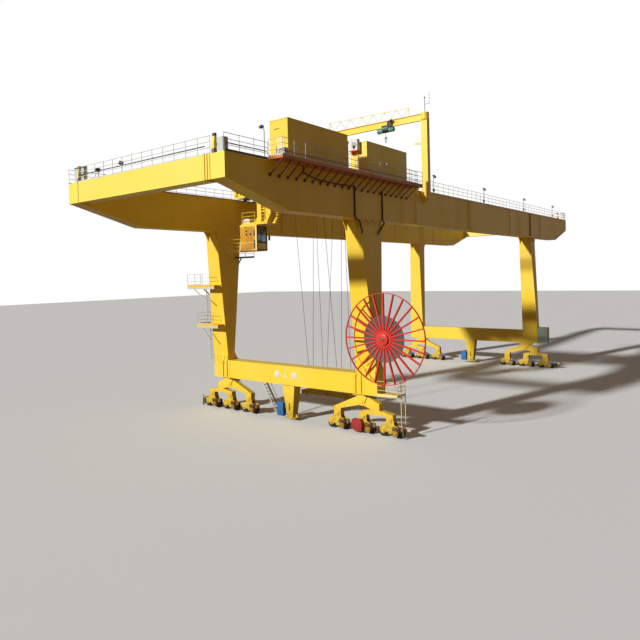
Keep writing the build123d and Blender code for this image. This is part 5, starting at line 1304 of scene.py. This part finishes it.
# %% Wind the drum and rib the winch motor
rope_turns, turn_pitch, drum_radius, field_length = 34, 0.0262, 0.251, 0.905
rope_field = [(drum_radius, 0)]
for i in range(rope_turns):
    at = 0.01 + i * turn_pitch
    rope_field += [(0.256, at), (0.268, at + 0.0065), (0.2715, at + 0.0131), (0.268, at + 0.0197)]
rope_field += [(drum_radius, field_length)]
drum_x, drum_z = -7.9, 11.286
drum = Shape(rope_steel)
for field_start, way in ((-1.1, 1), (1.1, -1)):
    drum.lathe((drum_x, field_start, drum_z), (0, way, 0), rope_field, 40)
drum.done("drum_rope", "trolley", "rope_steel")
winch_motor_x, winch_motor_z = -7.24, 11.136
winch_motor = [(0.151, 0)] + step_profile(0.02, 0.62, 16, 0.152, 0.166) + [(0.151, 0.63)]
fan_cover = [(0.14, 0), (0.165, 0.01), (0.165, 0.18), (0.12, 0.2)]
winch = Shape(machine_grey)
winch.lathe((winch_motor_x, 0.3, winch_motor_z), (0, 1, 0), winch_motor, 24)
winch.lathe((winch_motor_x, 0.96, winch_motor_z), (0, 1, 0), fan_cover, 24)
winch.done("winch_ribs", "trolley", "machinery_grey")

# %% [markdown]
# The service hoist has a rope drum between a motor and a gear case. Ribs on the motor, rope turns on the
# drum and a bent hook finish it. The hook is a tube along most of a circle.

# %% Dress the service hoist
hoist_z, hook_z, hook_radius = 13.58, 13.02, 0.045
hoist_motor = [(0.08, 0)] + step_profile(0.012, 0.2, 7, 0.104, 0.116) + [(0.08, 0.205)]
gear_cap = [(0.1, 0), (0.118, 0.008), (0.118, 0.12), (0.07, 0.15), (0.02, 0.152)]
hoist_drum = [(0.109, 0)] + step_profile(0.01, 0.38, 18, 0.1105, 0.1165, 0.6) + [(0.109, 0.39)]
hoist = Shape(hoist_green)
hoist.lathe((jib_x, -2.93, hoist_z), (0, 1, 0), hoist_motor, 20)
hoist.lathe((jib_x, -2.22, hoist_z), (0, 1, 0), gear_cap, 20)
hoist.use(rope_steel).lathe((jib_x, -2.68, hoist_z), (0, 1, 0), hoist_drum, 24)
hook_turns = [math.radians(a) for a in (0, 30, 60, 90, 120, 150, 180, 210, 240, 262)]
hook = [(jib_x, -2.45, hook_z + 0.07)]
hook += [(jib_x, -2.45 + hook_radius * math.sin(a), hook_z + hook_radius * math.cos(a)) for a in hook_turns]
hoist.use(lamp_black).tube(hook, 0.012, 8)
hoist.done("service_hoist_trim", "jib_trolley", "hoist_green")

# %% [markdown]
# Upright ribs stiffen the near sill where the legs stand on it, and grease pipes come out under it.

# %% Stiffen the near sill
ribs = Shape(yellow)
rib_outline = [(sill_face, 1.66), (sill_face - 0.055, 1.7), (sill_face - 0.055, 2.44), (sill_face, 2.49)]
for y in (4.13, 3.86, -3.79, -4.06):
    ribs.plate(rib_outline, "y", y - 0.009, y + 0.009)
ribs.done("sill_ribs", "portal", "frame_yellow", 0.001)
grease_x, grease_z = -10.25, 1.575
pipe_socket = [(0.034, -0.05), (0.034, 0.0), (0.02, 0.012)]
grease_pipes = Shape(lamp_black)
for y0, y1 in ((3.79, 3.09), (-4.15, -4.65)):
    grease_pipes.tube([(grease_x, y0, grease_z), (grease_x, y1, grease_z)], 0.025, 10)
    grease_pipes.lathe((grease_x, y1, grease_z), (0, -1, 0), pipe_socket, 10)
grease_pipes.done("grease_pipes", "portal", "machinery_grey")

# %% [markdown]
# Green sweeper posts stand in front of the first and last wheels and push stones off the rail. Brown
# cable ducts bend from the girder onto the leg, each held by a clamp.

# %% Add the sweeper posts and the duct bends
sweeper = [(0.03, 0), (0.046, 0.01), (0.046, 0.36), (0.026, 0.4), (0.026, 0.5), (0.012, 0.51)]
posts = Shape(plate_green)
for x in (-10.16, 10.16):
    for side in both_ways:
        posts.lathe((x, side * 5.88, 0.05), (0, 0, 1), sweeper, 14)
        arm_y0, arm_y1 = sorted((side * 5.83, side * 5.75))
        posts.box((x - 0.03, arm_y0, 0.28), (x + 0.03, arm_y1, 0.34))
posts.done("sweeper_posts", "portal", "buffer_peach", 0.002)
duct_routes = [
    [(-11.07, -4.452, 8.87), (-11.06, -4.48, 8.76), (-11.0, -4.6, 8.68), (-10.93, -4.61, 8.5),
     (-10.86, -4.62, 8.26), (-10.86, -4.62, 8.16)],
    [(-9.05, -4.452, 8.87), (-9.06, -4.48, 8.78), (-9.14, -4.6, 8.68), (-9.38, -4.61, 8.46),
     (-9.6, -4.62, 8.28), (-9.66, -4.62, 8.18)]]
bends = Shape(duct_brown)
for route in duct_routes:
    bends.tube(route, 0.032, 10)
for route in duct_routes:
    x, _, z = route[3]
    bends.box((x - 0.05, -4.64, z - 0.02), (x + 0.05, -4.57, z + 0.02))
bends.done("duct_bends", "portal", "duct_brown")

# %% [markdown]
# On the trolley a spare motor and its switch box hang at the cabin end, and a rod reaches out that
# trips the end switch.

# %% Add the trolley's switch gear
spare_motor = [(0.05, 0), (0.085, 0.01)] + step_profile(0.03, 0.4, 11, 0.078, 0.09)
spare_motor += [(0.085, 0.42), (0.05, 0.44)]
trip_rod = [(-9.5, 3.62, 10.72), (-9.66, 3.66, 10.8), (-9.82, 3.66, 10.86)]
gear = Shape(lamp_black)
gear.lathe((-9.42, 3.32, 10.42), (0, -1, 0), spare_motor, 20)
gear.box((-9.44, 3.0, 10.47), (-9.4, 3.2, 10.56))
gear.tube(trip_rod, 0.02, 8)
gear.lathe(trip_rod[-1], (-1, 0, 0.3), [(0.034, -0.02), (0.034, 0.05), (0.02, 0.06)], 12)
gear.use(casing_white).box((-9.5, 2.55, 10.24), (-9.36, 2.82, 10.44))
gear.box((-9.46, 2.6, 10.43), (-9.4, 2.78, 10.55))
gear.done("trolley_switch_gear", "trolley", "machinery_grey", 0.004)

# %% [markdown]
# The cabin has a small cooler on its roof, with a round grille in one wall and slots in another.

# %% Set the cooler on the cabin's roof
cooler_case = [(1.62, 8.972), (2.02, 8.972), (2.02, 9.2), (1.97, 9.25), (1.67, 9.25), (1.62, 9.2)]
roof = Shape(casing_white)
roof.plate(cooler_case, "x", -10.8, -10.55)
for radius in (0.03, 0.05, 0.07, 0.085):
    roof.tube(ring_points((-10.804, 1.82, 9.11), (1, 0, 0), radius, 24), 0.002, 5)
roof.use(lamp_black)
for i in range(7):
    slot_z = 9.01 + i * 0.025
    roof.box((-10.77, 1.6185, slot_z), (-10.58, 1.6215, slot_z + 0.008))
roof.done("cabin_cooler", "trolley", "casing_white", 0.003)

# %% [markdown]
# The service hoist's travel motor looks over the edge of the jib's beam. A bracket with a round cover
# ties it to the hoist.

# %% Add the service hoist's travel motor
small_motor = [(0.03, 0), (0.052, 0.004)] + step_profile(0.012, 0.13, 6, 0.05, 0.057)
small_motor += [(0.05, 0.135), (0.02, 0.145)]
motor = Shape(lamp_black)
motor.lathe((-5.47, -2.93, 13.97), (0, 1, 0), small_motor, 18)
motor.plate([(-5.44, 13.7), (-5.41, 13.7), (-5.41, 13.96), (-5.44, 14.0)], "y", -2.86, -2.6)
motor.lathe((-5.425, -2.73, 13.8), (1, 0, 0), [(0.05, 0), (0.05, 0.012), (0.02, 0.02)], 16)
motor.done("service_travel_motor", "jib_trolley", "machinery_grey", 0.002)
